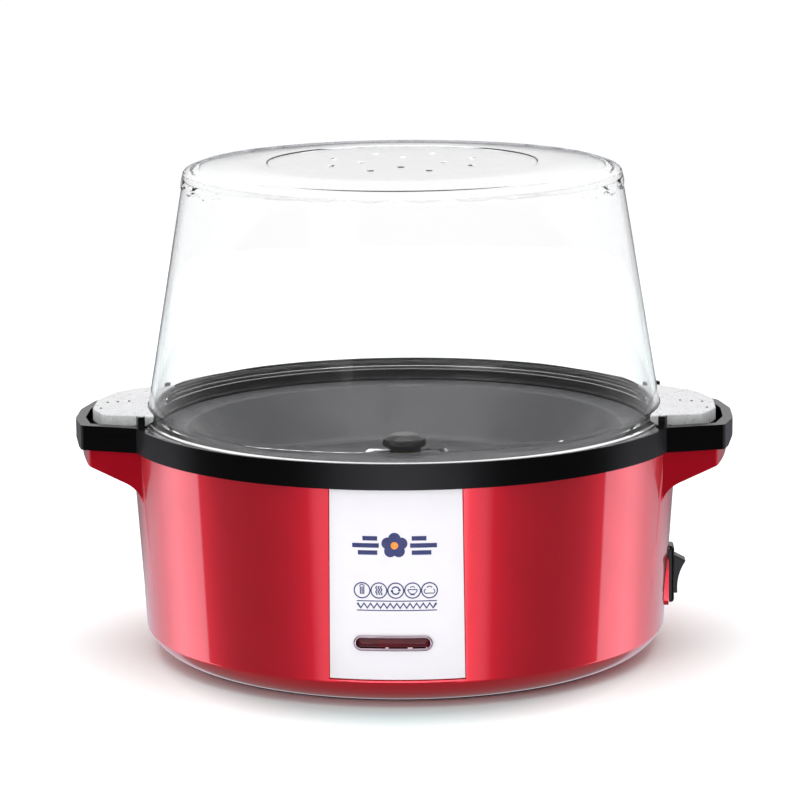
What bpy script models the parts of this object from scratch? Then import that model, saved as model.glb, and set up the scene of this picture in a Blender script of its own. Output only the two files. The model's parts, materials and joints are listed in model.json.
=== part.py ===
"""Stirring popcorn maker with a clear dome cover.

Metres, +Z up. The origin is the middle of the footprint, on the surface that the feet stand on.
The white indicator panel faces -Y and the rocker switch is on the +X side.
Each named object is one separate piece. Empties mark the joint axes.
"""

import math

import bmesh
import bpy
from mathutils import Matrix, Vector

MM = 0.001
SIDES = 36  # flats around the large turned pieces, so neighbours share the same flats
SMALL_SIDES = 8  # flats around screws, pins and bushes
GAP = 0.3 * MM  # air between pieces that rest on or in each other

# Overall
TOTAL_HEIGHT = 261 * MM
TOTAL_WIDTH = 350 * MM

# Red body
BODY_LOW_Z = 13.7 * MM  # crease above the rounded foot of the body
BODY_LOW_R = 139.3 * MM
BODY_HIGH_Z = 115.0 * MM
BODY_HIGH_R = 145.0 * MM
BODY_TOP_Z = 119.8 * MM  # the edge inside the rim's groove
BODY_WALL = 3.0 * MM
FOOT_ARC_R = 23.3 * MM
FOOT_ARC_FROM, FOOT_ARC_TO = math.radians(25), math.radians(75)
STRIP_HALF = 48 * MM  # raised band down each side, below the handles
STRIP_PROUD = 0.9 * MM

# Black rim with its two handles
RIM_R = 149.0 * MM
RIM_TOP_Z = 128.0 * MM
RIM_LOW_Z = 114.8 * MM
REBATE_R = 147.2 * MM  # the dome's flange lies in this step
REBATE_Z = 124.5 * MM
RIM_BORE_R = 136.6 * MM
LEDGE_Z = 116.0 * MM  # the pan hangs on this ledge
LEDGE_R = 127.0 * MM
RIM_UNDER_Z = 113.0 * MM
GROOVE_IN_R, GROOVE_OUT_R, GROOVE_TOP_Z = 139.0 * MM, 146.2 * MM, 120.3 * MM
HANDLE_ROOT = (138.2 * MM, 55.8 * MM)  # where a handle's side leaves the rim
HANDLE_SHOULDER = (169.5 * MM, 35.5 * MM, 6 * MM)  # the corner where a side turns into the end
HANDLE_END = (TOTAL_WIDTH / 2, 13.0 * MM, 25 * MM)  # the bowed end; a place and its radius
HANDLE_WALL = 5.4 * MM
HANDLE_FLOOR_Z = 119.5 * MM
DROOP_PER_METRE = 0.073  # the handles fall away outwards from their roots
RED_INSET = 3.4 * MM  # the red underside stands back from the black handle's end
RED_SHOULDER = (165.8 * MM, 33.2 * MM, 5 * MM)
RED_ROOT_X, RED_HALF_WIDE = 136.6 * MM, 47.6 * MM
LUG_ANGLES = [math.radians(angle) for angle in (19.6, 160.4, 199.6, 340.4)]  # beside the dome's tabs
LUG_TOP_Z = 133.2 * MM
LUG_IN_R, LUG_HALF_WIDE = 142 * MM, 3.6 * MM

# Clear dome
DOME_FOOT_R = 136.6 * MM  # the wall's outside, carried down to the rim's top
DOME_TAPER = 0.1638
DOME_WALL = 2.2 * MM
DOME_FLANGE_R = 146.6 * MM
DOME_SKIRT_Z = 119.6 * MM
TAB_ROOT = (130 * MM, 47 * MM)
TAB_SHOULDER = (158 * MM, 33 * MM, 10 * MM)
TAB_END = (166 * MM, 12 * MM, 20 * MM)
TAB_TOP_Z = 132.6 * MM
TAB_LOW_Z = 125.3 * MM
VENT_R = 2.0 * MM

# White panel and its window
PANEL_HALF_TOP, PANEL_HALF_LOW = 33.2 * MM, 34.2 * MM
PANEL_TOP_Z, PANEL_LOW_Z = 114.4 * MM, 15.2 * MM
PANEL_THICK = 1.6 * MM
WINDOW_X, WINDOW_Z = -2.0 * MM, 34.5 * MM
WINDOW_LONG, WINDOW_TALL = 40.0 * MM, 8.0 * MM

# Rocker switch
SWITCH_Z = 38.0 * MM
SWITCH_BACK_X = 142.1 * MM
SWITCH_PLATE = 2.6 * MM
SWITCH_LONG, SWITCH_WIDE = 31.0 * MM, 14.5 * MM
ROCKER_PIVOT_X = 141.5 * MM
ROCKER_REST = math.radians(14)  # the top stands out; the other stop is twice this away
ROCKER_HALF_WIDE = 4.8 * MM
ROCKER_HALF_LONG = 9.2 * MM

# Pan, heater and heat shield
PAN_THICK = 1.8 * MM
PAN_FLOOR_Z = 92.0 * MM
PAN_FLOOR_R = 90.0 * MM
PAN_RIM_Z = 119.0 * MM
PAN_MOUTH_R = 118.0 * MM
PAN_RIM_R = 132.5 * MM
COLLAR_Z = 96.0 * MM
BUSH_HOLE_R = 6.3 * MM
ELEMENT_R = 65 * MM
ELEMENT_TUBE_R = 3.2 * MM
ELEMENT_Z = 86.6 * MM
ELEMENT_GAP = math.radians(12)  # half the break in the ring, at +X
SHIELD_FLOOR_Z = 72.0 * MM
SHIELD_THICK = 1.0 * MM
STANDOFF_PLACE_R = 84 * MM

# Geared motor; the output shaft is on the machine's axis and the rotor is behind it
TOOTH_MODULE = 0.56 * MM
PINION_TEETH, WHEEL_TEETH, OUTPUT_TEETH = 10, 30, 36
ROTOR_AT = Vector((0, 12 * MM))
GEAR_TWO_ANGLE = math.radians(35)
MOTOR_LOW_Z = 35.0 * MM
MOTOR_R = 24.6 * MM
GEAR_PLATE_Z = 46.6 * MM
LAYER_ONE_Z, LAYER_TWO_Z, LAYER_THREE_Z = 48.1 * MM, 50.5 * MM, 52.9 * MM
LAYER_THICK = 2.0 * MM
COVER_Z = 55.6 * MM
BRACKET_Z = 57.0 * MM
PIN_R = 0.8 * MM
SHAFT_R = 3.5 * MM
SHAFT_TOP_Z = 105.0 * MM
MOTOR_EAR_X = 31 * MM

# Base
PLATE_LOW_Z, PLATE_TOP_Z = 2.5 * MM, 5.0 * MM
PLATE_R = 122.6 * MM
FOOT_PLACE_R = 96 * MM
BASE_SCREW_PLACE_R = 113 * MM
RIM_SCREW_PLACE_R = 133 * MM
QUARTERS = [math.radians(angle) for angle in (45, 135, 225, 315)]

MATERIALS = {
    "clear_plastic": ((0.92, 0.94, 0.95), 0.05, 0.0, 0.25),
    "black_plastic": ((0.012, 0.012, 0.013), 0.35, 0.0, 1.0),
    "red_metallic": ((0.55, 0.0, 0.02), 0.18, 0.6, 1.0),
    "white_plastic": ((0.86, 0.86, 0.90), 0.25, 0.0, 1.0),
    "chrome_trim": ((0.55, 0.55, 0.57), 0.15, 1.0, 1.0),
    "red_lens": ((0.25, 0.0, 0.01), 0.08, 0.0, 1.0),
    "lamp_glass": ((0.9, 0.55, 0.4), 0.05, 0.0, 1.0),
    "nonstick_pan": ((0.03, 0.03, 0.032), 0.45, 0.3, 1.0),
    "steel": ((0.6, 0.6, 0.62), 0.3, 1.0, 1.0),
    "aluminium": ((0.75, 0.75, 0.77), 0.35, 1.0, 1.0),
    "brass": ((0.78, 0.58, 0.24), 0.3, 1.0, 1.0),
    "copper_coil": ((0.55, 0.25, 0.1), 0.4, 0.8, 1.0),
    "gear_plastic": ((0.85, 0.85, 0.8), 0.5, 0.0, 1.0),
    "rubber": ((0.03, 0.03, 0.03), 0.9, 0.0, 1.0),
    "silicone": ((0.5, 0.1, 0.08), 0.7, 0.0, 1.0),
    "ceramic": ((0.85, 0.82, 0.75), 0.5, 0.0, 1.0),
    "lead_sleeve": ((0.8, 0.8, 0.78), 0.6, 0.0, 1.0),
}


# ---------------------------------------------------------------- helpers


def material(key):
    """The Principled material for a key of MATERIALS, made once."""
    if key in bpy.data.materials:
        return bpy.data.materials[key]
    colour, roughness, metallic, alpha = MATERIALS[key]
    made = bpy.data.materials.new(key)
    made.use_nodes = True
    shader = made.node_tree.nodes["Principled BSDF"]
    shader.inputs["Base Color"].default_value = (*colour, 1)
    shader.inputs["Roughness"].default_value = roughness
    shader.inputs["Metallic"].default_value = metallic
    shader.inputs["Alpha"].default_value = alpha
    return made


def piece(name, bm, finish=None, at=(0, 0, 0)):
    """Turns a bmesh into a named object; without a finish it is a hidden cutter or guide."""
    bmesh.ops.remove_doubles(bm, verts=bm.verts, dist=1e-7)
    bmesh.ops.recalc_face_normals(bm, faces=bm.faces)
    mesh = bpy.data.meshes.new(name)
    bm.to_mesh(mesh)
    bm.free()
    made = bpy.data.objects.new(name, mesh)
    made.location = at
    bpy.context.scene.collection.objects.link(made)
    if finish:
        mesh.materials.append(material(finish))
        mesh.shade_smooth()
        mesh.set_sharp_from_angle(angle=math.radians(32))
    else:
        made.hide_render = True
        made.display_type = "WIRE"
    return made


def boolean(target, tool, operation):
    modifier = target.modifiers.new(f"{operation.lower()} {tool.name}", "BOOLEAN")
    modifier.operation = operation
    modifier.object = tool
    return target


def turned_mesh(profile, sides=SIDES):
    """A solid of revolution about Z. A profile that starts and ends on the axis is left open there."""
    bm = bmesh.new()
    verts = [bm.verts.new((r, 0, z)) for r, z in profile]
    edges = [bm.edges.new(pair) for pair in zip(verts, verts[1:])]
    if profile[0][0] > 0 or profile[-1][0] > 0:
        edges.append(bm.edges.new((verts[-1], verts[0])))
    bmesh.ops.spin(
        bm,
        geom=verts + edges,
        cent=(0, 0, 0),
        axis=(0, 0, 1),
        angle=math.tau,
        steps=sides,
        use_merge=True,
    )
    return bm


def turned(name, profile, finish=None, sides=SIDES, at=(0, 0, 0)):
    return piece(name, turned_mesh(profile, sides), finish, at)


def tube_profile(inner, outer, low, high):
    return [(inner, low), (outer, low), (outer, high), (inner, high)]


def disc_profile(radius, low, high):
    return [(0, low), (radius, low), (radius, high), (0, high)]


def prism_mesh(outline, low, high, along="Z"):
    """A straight extrusion of a closed outline. The outline lies in the plane across the axis."""
    place = {
        "Z": lambda a, b, c: (a, b, c),
        "Y": lambda a, b, c: (a, c, b),
        "X": lambda a, b, c: (c, a, b),
    }[along]
    bm = bmesh.new()
    face = bm.faces.new([bm.verts.new(place(a, b, low)) for a, b in outline])
    grown = bmesh.ops.extrude_face_region(bm, geom=[face])["geom"]
    moved = [item for item in grown if isinstance(item, bmesh.types.BMVert)]
    bmesh.ops.translate(bm, verts=moved, vec=Vector(place(0, 0, high - low)))
    return bm


def prism(name, outline, low, high, finish=None, along="Z", at=(0, 0, 0)):
    return piece(name, prism_mesh(outline, low, high, along), finish, at)


def rectangle(a0, a1, b0, b1):
    return [(a0, b0), (a1, b0), (a1, b1), (a0, b1)]


def block_mesh(x0, x1, y0, y1, z0, z1):
    return prism_mesh(rectangle(x0, x1, y0, y1), z0, z1)


def block(name, x0, x1, y0, y1, z0, z1, finish=None):
    return piece(name, block_mesh(x0, x1, y0, y1, z0, z1), finish)


def merged(meshes):
    """Several bmeshes as one, for cutters that work together."""
    whole = bmesh.new()
    for index, bm in enumerate(meshes):
        carrier = bpy.data.meshes.new(f"carrier_{index}")
        bm.to_mesh(carrier)
        bm.free()
        whole.from_mesh(carrier)
        bpy.data.meshes.remove(carrier)
    return whole


def moved_mesh(bm, matrix):
    bmesh.ops.transform(bm, matrix=matrix, verts=bm.verts)
    return bm


def around(radius, angle, z=0.0):
    return Vector((radius * math.cos(angle), radius * math.sin(angle), z))


def upright_holes(places, radius, low, high, sides=SMALL_SIDES):
    """Cylinders for cutting round holes at each (x, y) place."""
    meshes = []
    for place in places:
        shift = Matrix.Translation((place[0], place[1], 0))
        meshes.append(moved_mesh(turned_mesh(disc_profile(radius, low, high), sides), shift))
    return merged(meshes)


def arc(centre, radius, start, end, steps):
    """Points on a circular arc, both ends included; angles in radians."""
    span = (end - start) / steps
    return [
        (
            centre[0] + radius * math.cos(start + span * i),
            centre[1] + radius * math.sin(start + span * i),
        )
        for i in range(steps + 1)
    ]


def rounded(corners, steps=4):
    """An outline from (a, b, radius) corners, each rounded with an arc of its radius."""
    points = []
    count = len(corners)
    for i, (a, b, radius) in enumerate(corners):
        here = Vector((a, b))
        if radius <= 0:
            points.append(tuple(here))
            continue
        back = (Vector(corners[i - 1][:2]) - here).normalized()
        ahead = (Vector(corners[(i + 1) % count][:2]) - here).normalized()
        half = back.angle(ahead) / 2
        centre = here + (back + ahead).normalized() * (radius / math.sin(half))
        first = here + back * (radius / math.tan(half)) - centre
        last = here + ahead * (radius / math.tan(half)) - centre
        turn = first.angle_signed(last)
        start = math.atan2(first.y, first.x)
        points += arc(centre, radius, start, start - turn, steps)
    return points


def offset_corners(corners, distance):
    """Moves each edge of a convex, counter-clockwise outline inwards by a distance."""
    count = len(corners)
    moved = []
    for i in range(count):
        before, here, after = (Vector(corners[k % count][:2]) for k in (i - 1, i, i + 1))
        along_in, along_out = (here - before).normalized(), (after - here).normalized()
        normal_in = Vector((-along_in.y, along_in.x))
        normal_out = Vector((-along_out.y, along_out.x))
        shift = (normal_in + normal_out) * (distance / (1 + normal_in.dot(normal_out)))
        moved.append((*(here + shift), max(corners[i][2] - distance, 0)))
    return moved


def both_ends(bm):
    """A shape at +X together with its mirror image at -X."""
    other = bm.copy()
    bmesh.ops.scale(other, vec=(-1, 1, 1), verts=other.verts)
    bmesh.ops.reverse_faces(other, faces=other.faces)
    return merged([bm, other])


def drooped(bm):
    """Lets everything beyond the handle's root fall away, as the handles do."""
    root = HANDLE_ROOT[0]
    for side in (-root, root):
        geometry = list(bm.verts) + list(bm.edges) + list(bm.faces)
        bmesh.ops.bisect_plane(bm, geom=geometry, plane_co=(side, 0, 0), plane_no=(1, 0, 0))
    for vert in bm.verts:
        vert.co.z -= max(abs(vert.co.x) - root, 0) * DROOP_PER_METRE
    return bm


def screw(name, at, head_low, shank_top, head_r=3.4 * MM, shank_r=1.4 * MM, head_high=None):
    """A pan-head screw driven upwards from below."""
    head_high = head_high or head_low + 1.7 * MM
    profile = [
        (0, head_low),
        (head_r * 0.8, head_low),
        (head_r, head_low + 0.6 * MM),
        (head_r, head_high),
        (shank_r, head_high),
        (shank_r, shank_top - 1 * MM),
        (shank_r * 0.4, shank_top),
        (0, shank_top),
    ]
    return turned(name, profile, "steel", SMALL_SIDES, (at[0], at[1], 0))


def joint_empty(name, at, kind="SINGLE_ARROW"):
    empty = bpy.data.objects.new(name, None)
    empty.empty_display_type = kind
    empty.empty_display_size = 0.03
    empty.location = at
    bpy.context.scene.collection.objects.link(empty)
    return empty


def hang_on(empty, *pieces):
    """Parents pieces to an empty without moving them."""
    bpy.context.view_layer.update()
    for each in pieces:
        each.parent = empty
        each.matrix_parent_inverse = empty.matrix_world.inverted()


# ---------------------------------------------------------------- body and rim


def body_radius(z):
    slope = (BODY_HIGH_R - BODY_LOW_R) / (BODY_HIGH_Z - BODY_LOW_Z)
    return BODY_LOW_R + (z - BODY_LOW_Z) * slope


def foot_arc(radius, steps=3):
    """The rounded foot of the body in section, from the bottom edge up to the crease."""
    centre = (
        BODY_LOW_R - FOOT_ARC_R * math.cos(FOOT_ARC_FROM),
        BODY_LOW_Z + FOOT_ARC_R * math.sin(FOOT_ARC_FROM),
    )
    return arc(centre, radius, -FOOT_ARC_TO, -FOOT_ARC_FROM, steps)


def handle_corners(inset):
    """The plan of one handle at +X, starting inside the rim."""
    upper = [HANDLE_END, HANDLE_SHOULDER, (*HANDLE_ROOT, 0), (118 * MM, 62 * MM, 0)]
    lower = [(x, -y, radius) for x, y, radius in reversed(upper)]
    return offset_corners(lower + upper, inset)


def lug_blocks():
    """The four lugs beside the dome's tabs, which stop the dome from turning."""
    low, outer = REBATE_Z - 1.5 * MM, RIM_R - 1.9 * MM
    return merged(
        [radial_block(a, LUG_IN_R, outer, LUG_HALF_WIDE, low, LUG_TOP_Z) for a in LUG_ANGLES]
    )


def make_rim():
    outer = [
        (0, RIM_UNDER_Z),
        (140 * MM, RIM_UNDER_Z),
        (140 * MM, RIM_LOW_Z),
        (RIM_R, RIM_LOW_Z),
        (RIM_R, RIM_TOP_Z - 0.7 * MM),
        (RIM_R - 0.7 * MM, RIM_TOP_Z),
        (0, RIM_TOP_Z),
    ]
    rim = turned("rim_ring", outer, "black_plastic")
    places = [around(RIM_SCREW_PLACE_R, angle) for angle in QUARTERS]
    bosses = upright_holes(places, 4.2 * MM, 107.4 * MM, RIM_UNDER_Z + 1 * MM)
    boolean(rim, piece("rim_bosses", bosses), "UNION")
    handles = drooped(both_ends(prism_mesh(rounded(handle_corners(0)), RIM_LOW_Z, RIM_TOP_Z)))
    boolean(rim, piece("rim_handles", handles), "UNION")

    inside = [
        (0, RIM_UNDER_Z - 5 * MM),
        (LEDGE_R, RIM_UNDER_Z - 5 * MM),
        (LEDGE_R, LEDGE_Z),
        (RIM_BORE_R, LEDGE_Z),
        (RIM_BORE_R, REBATE_Z),
        (REBATE_R, REBATE_Z),
        (REBATE_R, RIM_TOP_Z + 5 * MM),
        (0, RIM_TOP_Z + 5 * MM),
    ]
    boolean(rim, turned("rim_inside", inside), "DIFFERENCE")
    groove = tube_profile(GROOVE_IN_R, GROOVE_OUT_R, RIM_UNDER_Z - 5 * MM, GROOVE_TOP_Z)
    boolean(rim, turned("rim_groove", groove), "DIFFERENCE")

    boolean(rim, piece("dome_lugs", lug_blocks()), "UNION")

    recess_outline = rounded(handle_corners(HANDLE_WALL))
    deep = drooped(both_ends(prism_mesh(recess_outline, HANDLE_FLOOR_Z, RIM_TOP_Z + 8 * MM)))
    deep_cutter = piece("handle_recess", deep)
    keep = disc_profile(RIM_R + 0.8 * MM, RIM_UNDER_Z, RIM_TOP_Z + 20 * MM)
    boolean(deep_cutter, turned("recess_limit", keep), "DIFFERENCE")
    boolean(rim, deep_cutter, "DIFFERENCE")
    shallow = both_ends(prism_mesh(recess_outline, REBATE_Z, RIM_TOP_Z + 8 * MM))
    boolean(rim, piece("recess_mouth", drooped(shallow)), "DIFFERENCE")

    pilots = upright_holes(places, 1.7 * MM, 100 * MM, 115 * MM)
    boolean(rim, piece("rim_pilots", pilots), "DIFFERENCE")
    for index, place in enumerate(places, 1):
        screw(f"rim_screw_{index}", place, 101.8 * MM, 114 * MM)


def wedge_side(inset):
    """The red handle underside seen from the front, at +X; the inset makes its hollow."""
    high = RIM_LOW_Z - GAP
    end_x = TOTAL_WIDTH / 2 - RED_INSET - inset
    end_top = high - (end_x - HANDLE_ROOT[0]) * DROOP_PER_METRE
    if inset:
        high, end_top = high + 10 * MM, end_top + 10 * MM
    return rounded(
        [
            (118 * MM, high, 0),
            (118 * MM, 70 * MM + inset, 0),
            (134.3 * MM - inset, 70 * MM + inset, 0),
            (135.9 * MM - inset, 92.7 * MM + inset, 15 * MM),
            (end_x, 105.2 * MM + inset, 7 * MM - inset),
            (end_x, end_top, 0),
            (HANDLE_ROOT[0], high, 0),
        ],
        5,
    )


def red_corners(inset):
    """The plan of the red underside at +X: narrower than the black handle, and as wide as the strip."""
    end_x, end_y, end_round = HANDLE_END
    upper = [
        (end_x - RED_INSET, end_y, end_round - RED_INSET),
        RED_SHOULDER,
        (RED_ROOT_X, RED_HALF_WIDE, 0),
        (118 * MM, RED_HALF_WIDE, 0),
    ]
    lower = [(x, -y, radius) for x, y, radius in reversed(upper)]
    return offset_corners(lower + upper, inset)


def wedge(name, inset):
    plan = rounded(red_corners(inset))
    made = piece(name, both_ends(prism_mesh(plan, 60 * MM, 130 * MM)))
    side = both_ends(prism_mesh(wedge_side(inset), -70 * MM, 70 * MM, "Y"))
    return boolean(made, piece(f"{name}_side", side), "INTERSECT")


def side_strips():
    """The slightly raised band below each handle."""
    low, high = 26 * MM, 114.4 * MM
    inner = 1.5 * MM
    profile = [
        (body_radius(low) - inner, low),
        (body_radius(low), low),
        (body_radius(high) + STRIP_PROUD, high),
        (body_radius(high) - inner, high),
    ]
    strips = turned("side_strips", profile)
    bands = both_ends(block_mesh(100 * MM, 160 * MM, -STRIP_HALF, STRIP_HALF, 0, 130 * MM))
    return boolean(strips, piece("strip_bands", bands), "INTERSECT")


def radial_block(angle, inner, outer, half_wide, low, high):
    bm = block_mesh(inner, outer, -half_wide, half_wide, low, high)
    return moved_mesh(bm, Matrix.Rotation(angle, 4, "Z"))


def panel_outline(grow, low, high):
    return [
        (-PANEL_HALF_LOW - grow, low),
        (PANEL_HALF_LOW + grow, low),
        (PANEL_HALF_TOP + grow, high),
        (-PANEL_HALF_TOP - grow, high),
    ]


def wall_shell(depth, proud, low, high):
    """A turned layer that follows the body's outside, from a depth below it to a height above it."""
    return [
        (body_radius(low) - depth, low),
        (body_radius(low) + proud, low),
        (body_radius(high) + proud, high),
        (body_radius(high) - depth, high),
    ]


def stadium(length, height, steps=5):
    """A slot outline with round ends, about the window's centre, in X and Z."""
    reach, radius = (length - height) / 2, height / 2
    right = arc((WINDOW_X + reach, WINDOW_Z), radius, -math.pi / 2, math.pi / 2, steps)
    left = arc((WINDOW_X - reach, WINDOW_Z), radius, math.pi / 2, 1.5 * math.pi, steps)
    middle = [WINDOW_X + reach * k / 3 for k in (-2, -1, 0, 1, 2)]
    top = [(x, WINDOW_Z + radius) for x in reversed(middle)]
    bottom = [(x, WINDOW_Z - radius) for x in middle]
    return right + top + left + bottom


def make_body():
    inner_arc = foot_arc(FOOT_ARC_R - BODY_WALL)
    outer = [(0, 0.9 * MM), *foot_arc(FOOT_ARC_R), (body_radius(BODY_TOP_Z), BODY_TOP_Z), (0, BODY_TOP_Z)]
    body = turned("body_shell", outer, "red_metallic")
    boolean(body, wedge("handle_undersides", 0), "UNION")
    boolean(body, side_strips(), "UNION")
    pad = block("switch_pad", 137 * MM, 141.7 * MM, -9.5 * MM, 9.5 * MM, 21 * MM, 49 * MM)
    boolean(body, pad, "UNION")

    top = BODY_TOP_Z + 5 * MM
    hollow = [
        (0, -2 * MM),
        (inner_arc[0][0], -2 * MM),
        *inner_arc,
        (body_radius(top) - BODY_WALL, top),
        (0, top),
    ]
    hollows = boolean(turned("body_hollow", hollow), wedge("handle_hollows", BODY_WALL), "UNION")
    boolean(body, hollows, "DIFFERENCE")

    low_places = [around(BASE_SCREW_PLACE_R, angle) for angle in QUARTERS]
    high_places = [around(RIM_SCREW_PLACE_R, angle) for angle in QUARTERS]
    boss_base = PLATE_TOP_Z + GAP
    posts = upright_holes(low_places, 4.5 * MM, boss_base, 22 * MM)
    ribs = merged(
        [radial_block(a, 114 * MM, 135 * MM, 1.2 * MM, 9 * MM, 20 * MM) for a in QUARTERS]
    )
    ears = merged(
        [radial_block(a, 127 * MM, 143 * MM, 5.5 * MM, 104 * MM, 107 * MM) for a in QUARTERS]
    )
    boolean(body, piece("base_posts", posts), "UNION")
    boolean(body, piece("post_ribs", ribs), "UNION")
    boolean(body, piece("rim_ears", ears), "UNION")
    boolean(body, piece("post_pilots", upright_holes(low_places, 1.7 * MM, 0, 18 * MM)), "DIFFERENCE")
    boolean(
        body, piece("ear_holes", upright_holes(high_places, 1.8 * MM, 100 * MM, 110 * MM)), "DIFFERENCE"
    )

    pocket = turned("panel_pocket", wall_shell(PANEL_THICK + GAP, 6 * MM, 14 * MM, 125 * MM))
    outline = panel_outline(0.4 * MM, 13.9 * MM, 126 * MM)
    boolean(pocket, prism("pocket_sides", outline, -170 * MM, -90 * MM, along="Y"), "INTERSECT")
    boolean(body, pocket, "DIFFERENCE")

    window = stadium(WINDOW_LONG - 0.6 * MM, WINDOW_TALL - 0.6 * MM)
    boolean(body, prism("lamp_window", window, -150 * MM, -120 * MM, along="Y"), "DIFFERENCE")
    half_long, half_wide = SWITCH_LONG / 2 - 1.1 * MM, SWITCH_WIDE / 2 - 0.85 * MM
    cutout = rectangle(-half_wide, half_wide, SWITCH_Z - half_long, SWITCH_Z + half_long)
    boolean(body, prism("switch_cutout", cutout, 125 * MM, 150 * MM, along="X"), "DIFFERENCE")
    gland_hole = turned_mesh(disc_profile(7.4 * MM, 120 * MM, 150 * MM), SMALL_SIDES)
    boolean(body, piece("gland_hole", moved_mesh(gland_hole, gland_matrix())), "DIFFERENCE")


def gland_matrix():
    """Turns a shape made along +Z so that it points out of the back, at the cord's height."""
    return Matrix.Translation((0, 0, 22 * MM)) @ Matrix.Rotation(-math.pi / 2, 4, "X")


# ---------------------------------------------------------------- front panel and indicator


def make_panel():
    panel = turned("front_panel", wall_shell(PANEL_THICK, 0, PANEL_LOW_Z, PANEL_TOP_Z), "white_plastic")
    outline = panel_outline(0, PANEL_LOW_Z - 0.5 * MM, PANEL_TOP_Z + 0.5 * MM)
    boolean(panel, prism("panel_sides", outline, -170 * MM, -90 * MM, along="Y"), "INTERSECT")
    hole = stadium(WINDOW_LONG - 1.2 * MM, WINDOW_TALL - 1.2 * MM)
    boolean(panel, prism("panel_hole", hole, -150 * MM, -120 * MM, along="Y"), "DIFFERENCE")


def on_wall(x, z, height):
    """A point at a height above the body's outside, straight in front of (x, z)."""
    radius = body_radius(z) * math.cos(math.pi / SIDES) + height
    return Vector((x, -math.sqrt(radius * radius - x * x), z))


def wrapped_ring(name, stages, finish):
    """A closed band through (outline, height) stages laid on the curved wall, first joined to last."""
    bm = bmesh.new()
    loops = [[bm.verts.new(on_wall(x, z, height)) for x, z in outline] for outline, height in stages]
    count = len(loops[0])
    for index, loop in enumerate(loops):
        following = loops[(index + 1) % len(loops)]
        for k in range(count):
            n = (k + 1) % count
            bm.faces.new((loop[k], loop[n], following[n], following[k]))
    return piece(name, bm, finish)


def make_indicator():
    flange = stadium(WINDOW_LONG, WINDOW_TALL)
    barrel = stadium(WINDOW_LONG - 1.6 * MM, WINDOW_TALL - 1.6 * MM)
    opening = stadium(WINDOW_LONG - 3.0 * MM, WINDOW_TALL - 3.0 * MM)
    proud, under, back = 1.2 * MM, 0.6 * MM, -3.4 * MM
    wrapped_ring(
        "indicator_bezel",
        [
            (opening, proud), (flange, proud), (flange, under),
            (barrel, under), (barrel, back), (opening, back),
        ],
        "chrome_trim",
    )
    lens_low, lens_high = WINDOW_Z - WINDOW_TALL, WINDOW_Z + WINDOW_TALL
    lens = turned("indicator_lens", wall_shell(1.6 * MM, 0, lens_low, lens_high), "red_lens")
    outline = stadium(WINDOW_LONG - 3.8 * MM, WINDOW_TALL - 3.8 * MM)
    boolean(lens, prism("lens_outline", outline, -150 * MM, -120 * MM, along="Y"), "INTERSECT")

    lamp = turned_mesh(disc_profile(2.0 * MM, -12 * MM, 12 * MM), 12)
    across = Matrix.Translation((WINDOW_X, -130.6 * MM, WINDOW_Z)) @ Matrix.Rotation(math.pi / 2, 4, "Y")
    piece("indicator_lamp", moved_mesh(lamp, across), "lamp_glass")
    x0, x1 = WINDOW_X - 22 * MM, WINDOW_X + 22 * MM
    z0, z1 = WINDOW_Z - 6.5 * MM, WINDOW_Z + 6.5 * MM
    front_y, back_y, wall = -134.7 * MM, -126 * MM, 1.4 * MM
    holder = block("lamp_holder", x0, x1, front_y, back_y, z0, z1, "black_plastic")
    inside = block(
        "holder_hollow", x0 + wall, x1 - wall, front_y - 5 * MM, back_y - wall, z0 + wall, z1 - wall
    )
    boolean(holder, inside, "DIFFERENCE")


# ---------------------------------------------------------------- switch


def rocker_outline():
    """The rocker from the side, level: Z along its length and X out of the machine, about its pivot."""
    long = ROCKER_HALF_LONG
    face = []
    for k in range(9):
        z = long - long * 2 * k / 8
        face.append((5.9 * MM + 1.6 * MM * (z / long) ** 2, z))
    foot = [(0.8 * MM, -10.8 * MM), (-2 * MM, -10.8 * MM), (-4 * MM, -7 * MM)]
    return face + foot + [(x, -z) for x, z in reversed(foot)]


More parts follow.
